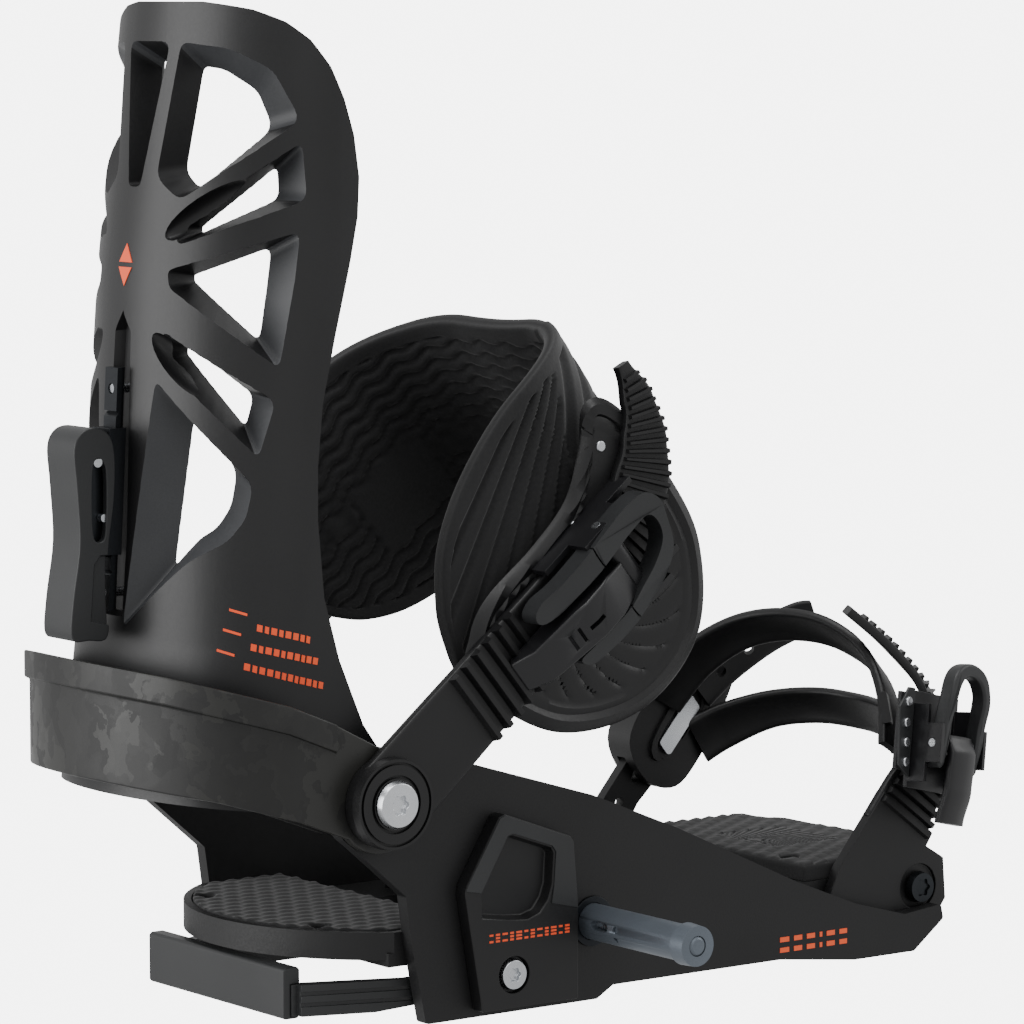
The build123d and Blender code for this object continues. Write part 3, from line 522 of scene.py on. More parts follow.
def highback():
    """The star-ribbed shell: deep ribs with sloped sides, a hub, a keel and thin wings."""
    def shell_point(u, v):
        return on_shell(-150 + 300 * u, 52 + 248 * v)

    shell = sheet("highback.shell", 151, 93, shell_point)
    group = shell.vertex_groups.new(name="thick")
    for vertex in shell.data.vertices:
        x, y, z = (c / MM for c in vertex.co)
        back, deep, half = stage_at(z)
        turn = math.degrees(math.atan2(abs(y) / half, max(0.001, (back + deep - x) / deep)))
        side_fade = min(1, max(0, (78 - turn) / 8))
        low_fade = min(1, max(0, (z - 112) / 14))
        share = side_fade * low_fade * min(1, max(0, (294 - z) / 4))
        group.add([vertex.index], (WALL + (RIB_DEPTH - WALL) * share) / RIB_DEPTH, "REPLACE")
    only(shell)
    bpy.ops.object.mode_set(mode="EDIT")
    bpy.ops.mesh.select_all(action="SELECT")
    bpy.ops.mesh.normals_make_consistent(inside=False)
    bpy.ops.object.mode_set(mode="OBJECT")
    face = shell.data.polygons[len(shell.data.polygons) // 2]
    if face.normal.x > 0:
        only(shell)
        bpy.ops.object.mode_set(mode="EDIT")
        bpy.ops.mesh.flip_normals()
        bpy.ops.object.mode_set(mode="OBJECT")
    modified(shell, "SOLIDIFY", thickness=RIB_DEPTH * MM, offset=-1, vertex_group="thick")
    outward(shell)
    trim = prism("trim", WING, -80, 80, lambda x, z, y: (x, y, z))
    carved(shell, trim, "INTERSECT")
    for outline, slopes in OPENINGS:
        opening(shell, outline, slopes, 1)
        opening(shell, outline, slopes, -1)
    opening(shell, [(-12, 281), (13, 281), (4, 240), (-3, 240)], (6, 0.6, 0.6, 0.6), 1)
    keel = [(-5.2, 199), (0, 205), (5.2, 199), (7.4, 140), (6.4, 118), (-6.4, 118),
            (-7.4, 140)]
    sunk = [(x * 0.72, 118 + (z - 118) * 0.985 + 1.5) for x, z in keel]
    carved(shell, prism("keel", keel, -1.0, 3.0, on_shell, sunk))
    corner = [(6, 310), (6, 292.4), (16, 291), (25, 287.6), (33, 281), (39, 272), (43, 260),
              (45.5, 246), (80, 246), (80, 310)]
    carved(shell, prism("corner", corner, -190, -60, lambda y, z, x: (x, y, z)))
    return shell


def mark_painted_lit_slopes(shell):
    """Picks out the broad sloped sides of the openings by the way they face, for the paler colour
    that paints in the light they catch.
    """
    shell.data.materials.append(None)
    shell.data.materials.append(None)
    for face in shell.data.polygons:
        x, y, z = (c / MM for c in face.center)
        back, deep, half = stage_at(z)
        turn = math.degrees(math.atan2(abs(y) / half, (back + deep - x) / deep))
        sign = -1 if y > 0 else 1
        out = (Vector(on_shell(sign * turn, z, -1)) - Vector(on_shell(sign * turn, z))).normalized()
        if turn < 84 and 0.36 < face.normal.dot(out) < 0.93 and z > 112 and abs(turn) > 7:
            face.material_index = 1


def scoops(shell):
    """Rounded hollows in the webs where two ribs meet near the hub."""
    for (turn, z), (end, rise) in (((19, 226), (52, 242)), ((16, 199), (40, 182))):
        for sign in (1, -1):
            a, b = Vector(on_shell(sign * turn, z)), Vector(on_shell(sign * end, rise))
            bpy.ops.object.select_all(action="DESELECT")
            bpy.ops.mesh.primitive_uv_sphere_add(segments=24, ring_count=12, radius=1)
            ball = bpy.context.object
            along = (b - a).normalized()
            across = Vector(on_shell(sign * turn, z, -1)) - a
            third = along.cross(across).normalized()
            reach = (b - a).length / 2
            middle = (a + b) / 2 + across * 0.6
            placed(ball, lambda x, y, q: (middle + along * x * reach + third * y * 4.2
                                          + across * q * 5.2) * MM)
            carved(shell, outward(ball))
    return shell


def finish_highback():
    shell = highback()
    # The sloped faces are marked for the paler material: painted light on the slopes.
    mark_painted_lit_slopes(shell)
    scoops(shell)
    only(shell)
    bpy.ops.object.mode_set(mode="EDIT")
    bpy.ops.mesh.select_all(action="SELECT")
    bpy.ops.mesh.remove_doubles(threshold=0.00004)
    bpy.ops.mesh.dissolve_limited(angle_limit=math.radians(0.8))
    bpy.ops.object.mode_set(mode="OBJECT")
    for s in (-1, 1):
        bpy.ops.object.select_all(action="DESELECT")
        bpy.ops.mesh.primitive_cylinder_add(vertices=48, radius=12.5 * MM, depth=3.4 * MM,
                                            location=(-90 * MM, s * 47.7 * MM, 67 * MM),
                                            rotation=(math.pi / 2, 0, 0))
        bpy.ops.object.transform_apply(location=True, rotation=True, scale=True)
        ear = bpy.context.object
        carved(shell, ear, "UNION")
    rounded(shell, 0.55, 2, 32)
    which = [face.material_index for face in shell.data.polygons]
    done(shell, "highback", "shell_black", SATIN, "highback")
    # Second material for the sloped faces: a paler colour as painted highlight where the slopes
    # catch the light.
    shell.data.materials.append(SLOPE_PAINTED_LIGHT)
    shell.data.polygons.foreach_set("material_index", which)
    return shell


finish_highback()


def print_on_shell(name, turn, z, marks, lift=0.12):
    """Printed marks on the shell: each a flat outline in millimetres round a point."""
    scale = per_degree(z)
    pieces = []
    for outline in marks:
        dense = []
        for i in range(len(outline)):
            a, b = Vector(outline[i]), Vector(outline[(i + 1) % len(outline)])
            steps = max(1, int((b - a).length / 2))
            dense += [tuple(a.lerp(b, k / steps)) for k in range(steps)]
        pieces.append(prism("mark", dense, -0.1, lift, lambda x, y, q: on_shell(
            turn - x / scale, z + y, -q)))
    return pieces


def shell_marks():
    """Generic orange marks: a split lozenge on the hub, three dashes with bars on the wing."""
    pieces = print_on_shell("hub", 0, 218, [
        [(-3.2, 0.7), (3.2, 0.7), (0, 6.0)], [(-3.2, -0.7), (0, -6.0), (3.2, -0.7)]], 0.2)
    lines = [((53, 123.0), (60.5, 121.6), (65, 118.6), (93, 114.2)),
             ((51, 117.4), (58.5, 116.0), (63, 113.2), (97, 108.2)),
             ((49, 111.6), (56.5, 110.2), (61, 107.8), (104, 100.8))]
    for start, stop, word, finish in lines:
        quads = [[start, stop, (stop[0], stop[1] - 0.7), (start[0], start[1] - 0.7)]]
        turn = word[0]
        while turn < finish[0] - 2:
            wide = 2.3 + 0.5 * math.sin(turn * 3)
            z = word[1] + (finish[1] - word[1]) * (turn - word[0]) / (finish[0] - word[0])
            quads.append([(turn, z), (turn + wide, z - 0.4), (turn + wide, z - 2.3),
                          (turn, z - 1.9)])
            turn += wide + 1.1
        pieces += [prism("mark", quad, -0.1, 0.14, lambda x, z, q: on_shell(x, z, -q))
                   for quad in quads]
    return done(joined("highback.print", pieces), "highback", "shell_black", INK)


shell_marks()
# Ankle strap ------------------------------------------------------------------------------

RISE = math.radians(40)
ALONG = Vector((math.cos(RISE), 0, math.sin(RISE)))
ACROSS = Vector((-math.sin(RISE), 0, math.cos(RISE)))
ANKLE = Vector((-90, 0, 67))


def at(a, y, n):
    """A point of the ankle strap: a along it from the screw, n across it to the shin."""
    return ANKLE + ALONG * a + ACROSS * n + Vector((0, y, 0))


def blended(pairs, x):
    """A smooth value between the pairs of place and value."""
    if x <= pairs[0][0]:
        return pairs[0][1]
    for (a, p), (b, q) in zip(pairs, pairs[1:]):
        if x <= b:
            t = (x - a) / (b - a)
            t = t * t * (3 - 2 * t)
            return p + (q - p) * t
    return pairs[-1][1]


def through(pairs, x):
    """A value on a smooth line through the pairs of place and value."""
    if x <= pairs[0][0]:
        return pairs[0][1]
    if x >= pairs[-1][0]:
        return pairs[-1][1]
    i = max(k for k in range(len(pairs) - 1) if pairs[k][0] <= x)
    (a, p), (b, q) = pairs[i], pairs[i + 1]
    before = pairs[i - 1] if i else pairs[i]
    after = pairs[i + 2] if i + 2 < len(pairs) else pairs[i + 1]
    rise = (q - before[1]) / max(1e-6, b - before[0])
    fall = (after[1] - p) / max(1e-6, after[0] - a)
    t, span = (x - a) / (b - a), b - a
    return ((2 * t ** 3 - 3 * t * t + 1) * p + (t ** 3 - 2 * t * t + t) * rise * span
            + (3 * t * t - 2 * t ** 3) * q + (t ** 3 - t * t) * fall * span)


def groove(x, width):
    """1 in the middle of a groove, falling to 0 at its edges."""
    return max(0.0, 1 - (x / width) ** 2) ** 1.5 if abs(x) < width else 0.0


# The pad's arch seen along its width: flat sides and a crown with large corners. Its place is
# given by s, from -1 at the lower end of the right wing through 0 at the crown to 1 on the left.
PAD_HALF, PAD_CROWN, CORNER = 50.0, 146.0, 34.0
WING_START = {-1: 47.0, 1: 62.0}


def arch_point(s, out):
    """A and Y of the arch at s, moved out by a distance, and the outward direction."""
    side = -1 if s < 0 else 1
    start = WING_START[side]
    straight = PAD_CROWN - CORNER - start
    bend = CORNER * math.pi / 2
    top = PAD_HALF - CORNER
    total = straight + bend + top
    run = (1 - abs(s)) * total
    if run < straight:
        return start + run, side * (PAD_HALF + out), (0, side)
    if run < straight + bend:
        t = (run - straight) / CORNER
        a = PAD_CROWN - CORNER + (CORNER + out) * math.sin(t)
        y = side * (PAD_HALF - CORNER + (CORNER + out) * math.cos(t))
        return a, y, (math.sin(t), side * math.cos(t))
    left = total - run
    return PAD_CROWN + out, side * left, (1, 0)


# Edges of the pad across its width, towards the shin and towards the toe, along s
SHIN_EDGE = [(-1.0, 6), (-0.95, 22), (-0.86, 37), (-0.7, 48), (-0.5, 53), (-0.25, 49), (0, 46),
             (0.3, 48), (0.55, 52), (0.75, 51), (0.88, 43), (0.96, 28), (1.0, 10)]
TOE_EDGE = [(-1.0, 2), (-0.95, -14), (-0.86, -26), (-0.7, -37), (-0.5, -41), (-0.25, -39),
            (0, -37), (0.3, -35), (0.55, -32), (0.75, -26), (0.88, -17), (0.96, -6), (1.0, 4)]


def pad_relief(s, n, edge):
    """Height of the moulded pattern on the inside and on the outside of the pad."""
    wave = n + 0.9 * math.sin(s * 60) + 6 * s * s
    inside = -1.3 * groove((wave % 4.6) - 2.3, 1.5)
    if edge < 5:
        inside = 0
    if 0.45 < s < 0.72 and -8 < n < 16:
        inside = -0.2
    outside = 0.0
    if s < -0.12 and edge > 4:
        a, y, _ = arch_point(s, 0)
        if a < 112 + 0.5 * (n - 20):
            fan = math.atan2(n - 70, a - 160)
            outside = -1.4 * groove(((fan * 46) % 3.4) - 1.7, 0.8)
        else:
            fan = math.atan2(n + 30, a - 60)
            outside = -1.4 * groove(((fan * 30) % 3.2) - 1.6, 0.8)
    return inside, outside


def ankle_pad():
    """The moulded pad: a thick rolled rim, waves inside and fanned grooves on the wings."""
    columns, rows = 250, 230

    def skin(u, v):
        """The skin goes over the outside for v below a half and back inside above it."""
        s = -1 + 2 * u
        s = math.copysign(abs(s) ** 0.92, s)
        high, low = through(SHIN_EDGE, s), through(TOE_EDGE, s)
        turn = 2 * math.pi * v
        # A flat loop with round ends: across runs -1 to 1, thick is the place in the wall
        across = math.cos(turn)
        lifted = math.sin(turn)
        power = 0.28
        across = math.copysign(abs(across) ** 0.75, across)
        thick = math.copysign(abs(lifted) ** power, lifted)
        middle, half = (high + low) / 2, max(2.0, (high - low) / 2)
        n = middle + across * half
        end = min(1.0, (1 - abs(s)) / 0.03) ** 0.5
        edge = half * (1 - abs(across))
        rim = max(0.0, 1 - edge / 4.0) if edge < 4 else 0.0
        body = 3.0 + 0.7 * rim
        inside, outside = pad_relief(s, n, min(edge, (1 - abs(s)) * 130))
        out = thick * body * (0.35 + 0.65 * end) + (outside if thick > 0.6 else 0)
        if thick < -0.6:
            out -= inside
        flare = 3.5 * max(0.0, (n - 25) / 28) if s > -0.2 else 4.5 * max(0.0, (n - 20) / 33)
        a, y, _ = arch_point(s, out + flare * 0.55 - 1.0)
        return at(a, y, n)

    piece = sheet("ankle_pad.foam", columns, rows, skin)
    capped(piece)
    smooth(piece, 70)
    return done(piece, "ankle_strap", "foam", FOAM, "ankle_pad", pad=0.8)


ankle_pad()


def flat_piece(name, outline, low, high):
    """A plate that lies along the strap: an outline in a and n between two values of Y."""
    return prism(name, outline, low, high, lambda a, n, y: at(a, y, n))


def ankle_shell():
    """The oval outer shell: a double raised rim, a sunk field and short slashes."""
    outline = [(46, 2), (53, 12), (64, 16.4), (84, 16.8), (104, 19), (118, 26.5), (128, 35),
               (133.5, 24), (134, 4), (130, -22), (112, -43), (84, -45), (58, -28)]
    smooth_line = closed_curve(outline, 10)
    middle = Vector((92, -3))

    def skin(u, v):
        turn = u * len(smooth_line)
        i = int(turn) % len(smooth_line)
        t = turn - int(turn)
        edge = Vector(smooth_line[i]).lerp(Vector(smooth_line[(i + 1) % len(smooth_line)]), t)
        spread = 1 - v
        point = middle + (edge - middle) * spread
        far = (edge - middle).length * (1 - spread)
        height = 57.0
        if far < 1.0:
            height = 57.0 - (1.0 - far) * 0.9
        height += 0.9 * max(0, 1 - abs(far - 1.8) / 1.1)
        height -= 0.9 * groove(far - 3.9, 0.9)
        height += 0.6 * max(0, 1 - abs(far - 5.6) / 0.9)
        around = math.degrees(math.atan2(edge.y - middle.y, edge.x - middle.x))
        slant = around + far * 1.6
        if far > 8 and far < 26 and (around < 14 or around > 175):
            height -= 1.9 * groove((slant % 17) - 8.5, 1.7) * min(1, (far - 8) / 2)
        return at(point.x, -height, point.y)

    top = sheet("ankle_shell.top", 300, 44, skin)
    only(top)
    bpy.ops.object.mode_set(mode="EDIT")
    bpy.ops.mesh.select_all(action="SELECT")
    bpy.ops.mesh.remove_doubles(threshold=0.00001)
    bpy.ops.object.mode_set(mode="OBJECT")
    modified(top, "SOLIDIFY", thickness=2.2 * MM, offset=-1)
    outward(top)
    smooth(top, 40)
    return done(top, "ankle_strap", "strap", URETHANE, "ankle_shell")


ankle_shell()


def ladder_ribs(name, first, count, pitch, place, width, height=1.5):
    """A row of ladder teeth, each a low ridge with one steep side."""
    teeth = []
    for k in range(count):
        start = first + pitch * k
        half = width(k) / 2 if callable(width) else width / 2
        profile = [(0, 0), (pitch * 0.82, 0), (pitch * 0.62, height), (pitch * 0.3, height)]

        def settle(x, z, q, start=start):
            return place(start + x, q, z)
        teeth.append(prism("tooth", profile, -half, half, settle))
    return joined(name, teeth)


def ankle_ladder():
    """The moulded ladder: broad shank, bold ribs, and a toothed free end that curls away."""
    stations = [(0, 0, 0), (30, 0, 0), (60, 0, 0), (84, 0, 0), (100, 0, 0), (112, 0, 1.5),
                (121.5, 0, 5.5), (130, 0.2, 12), (136.4, 0.6, 20), (140.6, 1.4, 28.5),
                (142.8, 2.8, 37)]
    line = curved(stations, 14)
    lengths = [0.0]
    for before, after in zip(line, line[1:]):
        lengths.append(lengths[-1] + (after - before).length)
    whole = lengths[-1]
    wide = [(0, 13), (84, 12), (112, 11.2), (126, 10), (138, 8), (150, 5.4), (whole, 2.2)]
    base = -60.7

    def frame_at(run_length):
        best = min(range(len(line)), key=lambda i: abs(lengths[i] - run_length))
        i = max(0, min(best, len(line) - 2))
        t = (run_length - lengths[i]) / (lengths[i + 1] - lengths[i])
        here = line[i].lerp(line[i + 1], t)
        run = (line[min(i + 2, len(line) - 1)] - line[max(i - 1, 0)]).normalized()
        across = Vector((-run.z, 0, run.x))
        across = (across - run * across.dot(run)).normalized()
        out = run.cross(across).normalized()
        if out.y > 0:
            out = -out
        return here, across, out

    def place(run_length, q, out):
        here, across, normal = frame_at(run_length)
        point = here + across * q + normal * out
        return at(point.x, base + point.y, point.z)

    def skin(u, v):
        run_length = whole * u
        half = blended(wide, run_length)
        turn = 2 * math.pi * v
        q = math.copysign(abs(math.cos(turn)) ** 0.3, math.cos(turn)) * half
        out = math.copysign(abs(math.sin(turn)) ** 0.3, math.sin(turn)) * 1.85
        return place(run_length, q, out)

    strap = capped(sheet("shank", 200, 40, skin))
    boss = prism("boss", [(13 * math.cos(math.radians(t)), 13 * math.sin(math.radians(t)))
                          for t in range(0, 360, 6)], -62.6, -58.8,
                 lambda a, n, y: at(a, y, n))
    low_ribs = ladder_ribs("ribs", 36.5, 6, 5.0, place, 24.5, 3.9)
    teeth = ladder_ribs("teeth", 106, 19, 2.8, place,
                        lambda k: 2 * blended(wide, 106 + 2.8 * k) - 1.8, 3.3)
    piece = joined("ankle_ladder.strap", [strap, boss, low_ribs, teeth])
    smooth(piece, 35)
    return done(piece, "ankle_strap", "strap", URETHANE, "ankle_ladder")


ankle_ladder()


def lever_bow(name, path, section, place):
    """A bent bar: a rounded box section swept along a smooth closed or open path."""
    line = curved(path, 8)

    def skin(u, v):
        i = min(int(u * (len(line) - 1)), len(line) - 2)
        t = u * (len(line) - 1) - i
        here = Vector(line[i]).lerp(Vector(line[i + 1]), t)
        run = (Vector(line[min(i + 2, len(line) - 1)]) - Vector(line[max(i - 1, 0)]))
        run = Vector((run.x, run.y, run.z)).normalized()
        side = Vector((-run.y, run.x, 0)).normalized()
        turn = 2 * math.pi * v
        width, height = section(u)
        q = math.copysign(abs(math.cos(turn)) ** 0.4, math.cos(turn)) * width / 2
        h = math.copysign(abs(math.sin(turn)) ** 0.4, math.sin(turn)) * height / 2
        point = here + side * q + Vector((0, 0, h))
        return place(point.x, point.y, point.z)

    piece = sheet(name, 90, 28, skin)
    capped(piece)
    return piece


def buckle_arch(a):
    """How far out the middle of the buckle's lever lies, along the ladder."""
    return blended([(52, 65.6), (62, 67.2), (76, 70.0), (92, 72.2), (106, 73.2), (121, 71.8)], a)


def ankle_lever():
    """The tightening lever: a broad flat bow, arched along the ladder. The wings that it
    continues on the ankle side belong to the buckle's base."""
    outer = closed_curve([(66.5, 9.6), (71, 12.2), (79, 11.8), (88, 12.8), (97, 14), (107, 15),
                          (115.8, 13), (119.2, 7.6), (117.8, 1.6), (113.9, -6.4),
                          (105.6, -10.6), (97.5, -12.8), (89.4, -14.6), (80, -15), (72, -14),
                          (70.5, -10.4), (80, -10.2), (92, -9.4), (98, -7.6), (106.3, -4.8),
                          (112.4, -1.6), (114.3, 3.2), (112.4, 7.4), (104.4, 8.0), (93, 6.4),
                          (80, 5.4), (68, 6.0)], 5)

    def band(name, cut_from, cut_to):
        bow = prism(name, outer, -3.4, 3.4, lambda a, n, h: at(a, -(buckle_arch(a) + h), n))
        half = [(cut_from, -30), (cut_to, -30), (cut_to, 30), (cut_from, 30)]
        carved(bow, prism("half", half, 50, 90, lambda a, n, h: at(a, -h, n)), "INTERSECT")
        rounded(bow, 1.3, 3, 40)
        bow.name = name
        return bow

    done(band("ankle_lever.bow", 92.3, 130), "ankle_lever", "buckle", SLATE, "ankle_lever")
    done(band("ankle_buckle.wings", 50, 91.8), "ankle_strap", "buckle", SLATE)


def ankle_trigger():
    """The release trigger: a crisp folded blade, pointed at its nose, with a sunk mark."""
    crown = [(54, 64.6), (56, 62.4), (84, 66.6), (99, 66.8), (101.5, 69), (98, 73.4), (88, 76.2),
             (80, 76.4), (60, 71.0)]
    blade = prism("blade", crown, -9.4, 3.4, lambda a, h, n: at(a, -h, n))
    plan = [(50, 1.4), (50, -8.6), (70, -9.9), (90, -10.6), (104, -7.2), (104, 1.0), (86, 4.2),
            (66, 2.6)]
    carved(blade, prism("plan", plan, 60, 80, lambda a, n, h: at(a, -h, n)), "INTERSECT")
    rounded(blade, 0.9, 3)
    for line in ([(70, -1.2), (70, -6.6), (71.2, -6.6), (71.2, -1.2)],
                 [(73.4, -1.2), (73.4, -6.6), (74.6, -6.6), (74.6, -1.2)],
                 [(76.8, -3.2), (76.8, -4.6), (82.6, -4.6), (82.6, -3.2)]):
        carved(blade, prism("groove", line, 73.6, 80, lambda a, n, h: at(a, -h, n)))
    hub = prism("hub", [(3.5 * math.cos(math.radians(t)), 3.5 * math.sin(math.radians(t)))
                        for t in range(0, 360, 15)], -7.8, 6.8,
                lambda x, h, n: at(100 + x, -70 - h, n))
    piece = joined("ankle_trigger.blade", [blade, hub])
    smooth(piece, 35)
    return done(piece, "ankle_trigger", "buckle", BUCKLE, "ankle_trigger")


def ankle_plate():
    """The black plate under the buckle: its upper edge carries the bright rivets."""
    outline = closed_curve([(57, 5), (60, 11.4), (76, 13.2), (96, 15.6), (110, 18.5),
                            (121, 28), (127, 28.5), (125, 19), (112, 8), (96, 4)], 4)
    plate = flat_piece("plate", outline, -58.6, -57.2)
    rounded(plate, 0.35)
    heads = []
    for a, n in ((72.6, 8.4), (90.6, 9.4), (99.6, 13.2), (104.2, 9.6), (121.5, 24.4)):
        head = flat_piece("rivet", [(a + 1.7 * math.cos(t), n + 1.7 * math.sin(t))
                                    for t in (2 * math.pi * k / 24 for k in range(24))],
                          -59.7, -58.5)
        rounded(head, 0.5, 3, 60)
        heads.append(head)
    plate.name = "ankle_plate.finished"
    done(plate, "ankle_strap", "buckle", BUCKLE, "ankle_plate")
    rivets = joined("ankle_rivets.finished", heads)
    smooth(rivets, 50)
    done(rivets, "ankle_strap", "steel", STEEL, "ankle_rivets")


ankle_plate()
ankle_lever()
ankle_trigger()
# Foot pads --------------------------------------------------------------------------------


def pad_top(name, node, outline_node, height, pattern, body_slot="foam"):
    """A foot pad: a dense top sheet with its moulded pattern, over a closed edge."""
    low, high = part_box(node)
    low, high = low / MM, high / MM
    source = frame["nodes"][node]
    piece = source.copy()
    piece.data = source.data.copy()
    for key in list(piece.keys()):
        del piece[key]
    piece.parent = None
    bpy.context.scene.collection.objects.link(piece)
    piece.name = name
    only(piece)
    bpy.ops.object.mode_set(mode="EDIT")
    bpy.ops.mesh.select_all(action="SELECT")
    bpy.ops.mesh.remove_doubles(threshold=0.000002)
    bpy.ops.object.mode_set(mode="OBJECT")
    modified(piece, "REMESH", mode="VOXEL", voxel_size=0.55 * MM)
    for vertex in piece.data.vertices:
        x, y, z = (c / MM for c in vertex.co)
        if z > high.z - 0.9:
            rim = min(high.x - x, x - low.x)
            vertex.co.z = (z + pattern(x, y)) * MM
    smooth(piece, 60)
    return done(piece, "root", "foam", FOAM, node, pad=0.9)


def toe_pattern(x, y):
    """Overlapping scales, with a sunk fan of lines in the middle."""
    if abs(y) < 15 and 92 < x < 118:
        return -0.6 - 0.9 * groove(((math.atan2(y, x - 82) * 40) % 3.4) - 1.7, 0.6)
    row = math.floor((x + 2000) / 5.6)
    across = (y + 3.4 * (row % 2)) / 6.8
    cell = abs((across % 1) - 0.5) * 2
    along = ((x + 2000) % 5.6) / 5.6
    return -1.5 * (1 - along) * (0.45 + 0.55 * cell) - 0.1


def heel_pattern(x, y):
    """Low oval bumps in staggered rows."""
    row = math.floor((y + 200) / 4.8)
    dx = ((x + 300 + 3 * (row % 2)) % 6.0) - 3.0
    dy = ((y + 200) % 4.8) - 2.4
    return -0.55 * min(1.0, (dx / 2.7) ** 2 + (dy / 2.1) ** 2)


pad_top("toe_pad.foam", "toe_pad", None, 6, toe_pattern)
pad_top("heel_pad.foam", "heel_pad", None, 4, heel_pattern)

# Screws, pins and discs -------------------------------------------------------------------


def circle(radius, x=0.0, z=0.0, count=36):
    return [(x + radius * math.cos(2 * math.pi * k / count),
             z + radius * math.sin(2 * math.pi * k / count)) for k in range(count)]


def torx(radius, x=0.0, z=0.0):
    """The outline of a six-lobed socket."""
    return [(x + radius * (1 + 0.13 * math.cos(6 * t)) * math.cos(t),
             z + radius * (1 + 0.13 * math.cos(6 * t)) * math.sin(t))
            for t in (2 * math.pi * k / 60 for k in range(60))]


def along_y(x, z, y):
    return (x, y, z)


def ankle_screws():
    """Flanged button heads with a six-lobed socket, on their shanks."""
    pieces = []
    for s in (-1, 1):
        head = prism("head", circle(7.0, -90, 67, 60), s * 65.65, s * 67.4, along_y,
                     circle(6.2, -90, 67, 60))
        carved(head, prism("socket", torx(2.7, -90, 67), s * 66.0, s * 69, along_y))
        rounded(head, 0.35, 3)
        ring_cut = prism("shank", circle(2.9, -90, 67, 24), s * 47, s * 65.7, along_y)
        pieces += [head, ring_cut]
    piece = joined("ankle_screws.finished", pieces)
    smooth(piece, 35)
    return done(piece, "root", "steel", STEEL, "ankle_screws")


def bail_screws():
    """Pivot screws of the bail with six-lobed sockets."""
    pieces = []
    for s in (-1, 1):
        head = prism("head", circle(4.75, -44, 12, 48), s * 57.6, s * 59.8, along_y,
                     circle(4.2, -44, 12, 48))
        carved(head, prism("socket", torx(1.9, -44, 12), s * 58.5, s * 61, along_y))
        rounded(head, 0.3, 3)
        pieces += [head, prism("shank", circle(2.6, -44, 12, 24), s * 44.4, s * 57.7, along_y)]
    piece = joined("bail_screws.finished", pieces)
    smooth(piece, 35)
    return done(piece, "root", "steel", STEEL, "bail_screws")


def ankle_discs():
    """Washer discs: a stepped rim, a groove ring and a cone towards the screw."""
    pieces = []
    for s in (-1, 1):
        disc = prism("disc", circle(13.3, -90, 67, 96), s * 62.7, s * 65.4, along_y,
                     circle(12.9, -90, 67, 96))
        for outer, inner, deep in ((12.1, 11.3, 64.5), (8.4, 7.5, 64.4)):
            groove_ring = prism("groove", circle(outer, -90, 67, 72), s * deep, s * 67, along_y)
            core = prism("core", circle(inner, -90, 67, 72), s * (deep - 1), s * 68, along_y)
            carved(groove_ring, core)
            carved(disc, groove_ring)
        carved(disc, prism("bore", circle(3.0, -90, 67, 36), s * 60, s * 68, along_y))
        pieces.append(disc)
    piece = joined("ankle_discs.finished", pieces)
    smooth(piece, 35)
    return done(piece, "root", "cover_black", COVER, "ankle_discs")


ankle_screws()
bail_screws()
ankle_discs()


def toe_fasteners():
    """Ring-shaped black screw heads with a deep socket, as on the toe foot."""
    pieces = []
    for x, z, a, b, c, d in ((120, 18.8, -49.3, -51.6, -37, -49.4),
                             (62, 18.0, 45.7, 43.4, 56, 45.6)):
        head = prism("head", circle(4.9, x, z, 48), a, b, along_y, circle(4.5, x, z, 48))
        carved(head, prism("socket", torx(2.6, x, z), (a + b) / 2 + (b - a) * 0.2,
                           b + (b - a), along_y))
        pieces += [head, prism("shank", circle(2.5, x, z, 24), c, d, along_y)]
    piece = joined("toe_screws.finished", pieces)
    smooth(piece, 35)
    return done(piece, "root", "steel", BLACKENED, "toe_screws")


toe_fasteners()


def lock_pin():
    """The grey sleeve: stepped collar, a long slot, a dimple and a small arrow."""
    x, z = -12.0, 23.5
    sleeve = prism("sleeve", circle(5.35, x, z, 72), -24, -100, along_y)
    collar = prism("collar", circle(6.2, x, z, 72), -98.8, -104, along_y, circle(5.9, x, z, 72))
    carved(collar, prism("bore", circle(3.0, x, z, 36), -96, -105, along_y))
    waist = prism("waist", circle(7, x, z, 72), -97.9, -98.8, along_y)
    carved(waist, prism("core", circle(4.9, x, z, 72), -96, -100, along_y))
    carved(sleeve, waist)
    carved(sleeve, prism("bore", circle(3.0, x, z, 36), -20, -105, along_y))
    slot = closed_curve([(-67.5, 22.6), (-62.0, 22.6), (-60.6, 23.9), (-62.0, 25.2),
                         (-67.5, 25.2), (-68.9, 23.9)], 5)
    carved(sleeve, prism("slot", slot, -20.0, -14.6, lambda y, q, h: (h, y, q)))
    carved(sleeve, prism("dimple", circle(1.2, -72.5, 23.9, 20), -20.0, -16.4,
                         lambda y, q, h: (h, y, q)))
    carved(sleeve, prism("arrow", [(-73.6, 21.6), (-71.0, 21.6), (-72.3, 20.0)], -20.0, -16.0,
                         lambda y, q, h: (h, y, q)))
    rounded(collar, 0.35, 2)
    piece = joined("pin_sleeve.finished", [sleeve, collar])
    smooth(piece, 35)
    return done(piece, "lock_pin", "grey", ANODISED, "pin_sleeve")


lock_pin()
# Side covers and lean lever ---------------------------------------------------------------


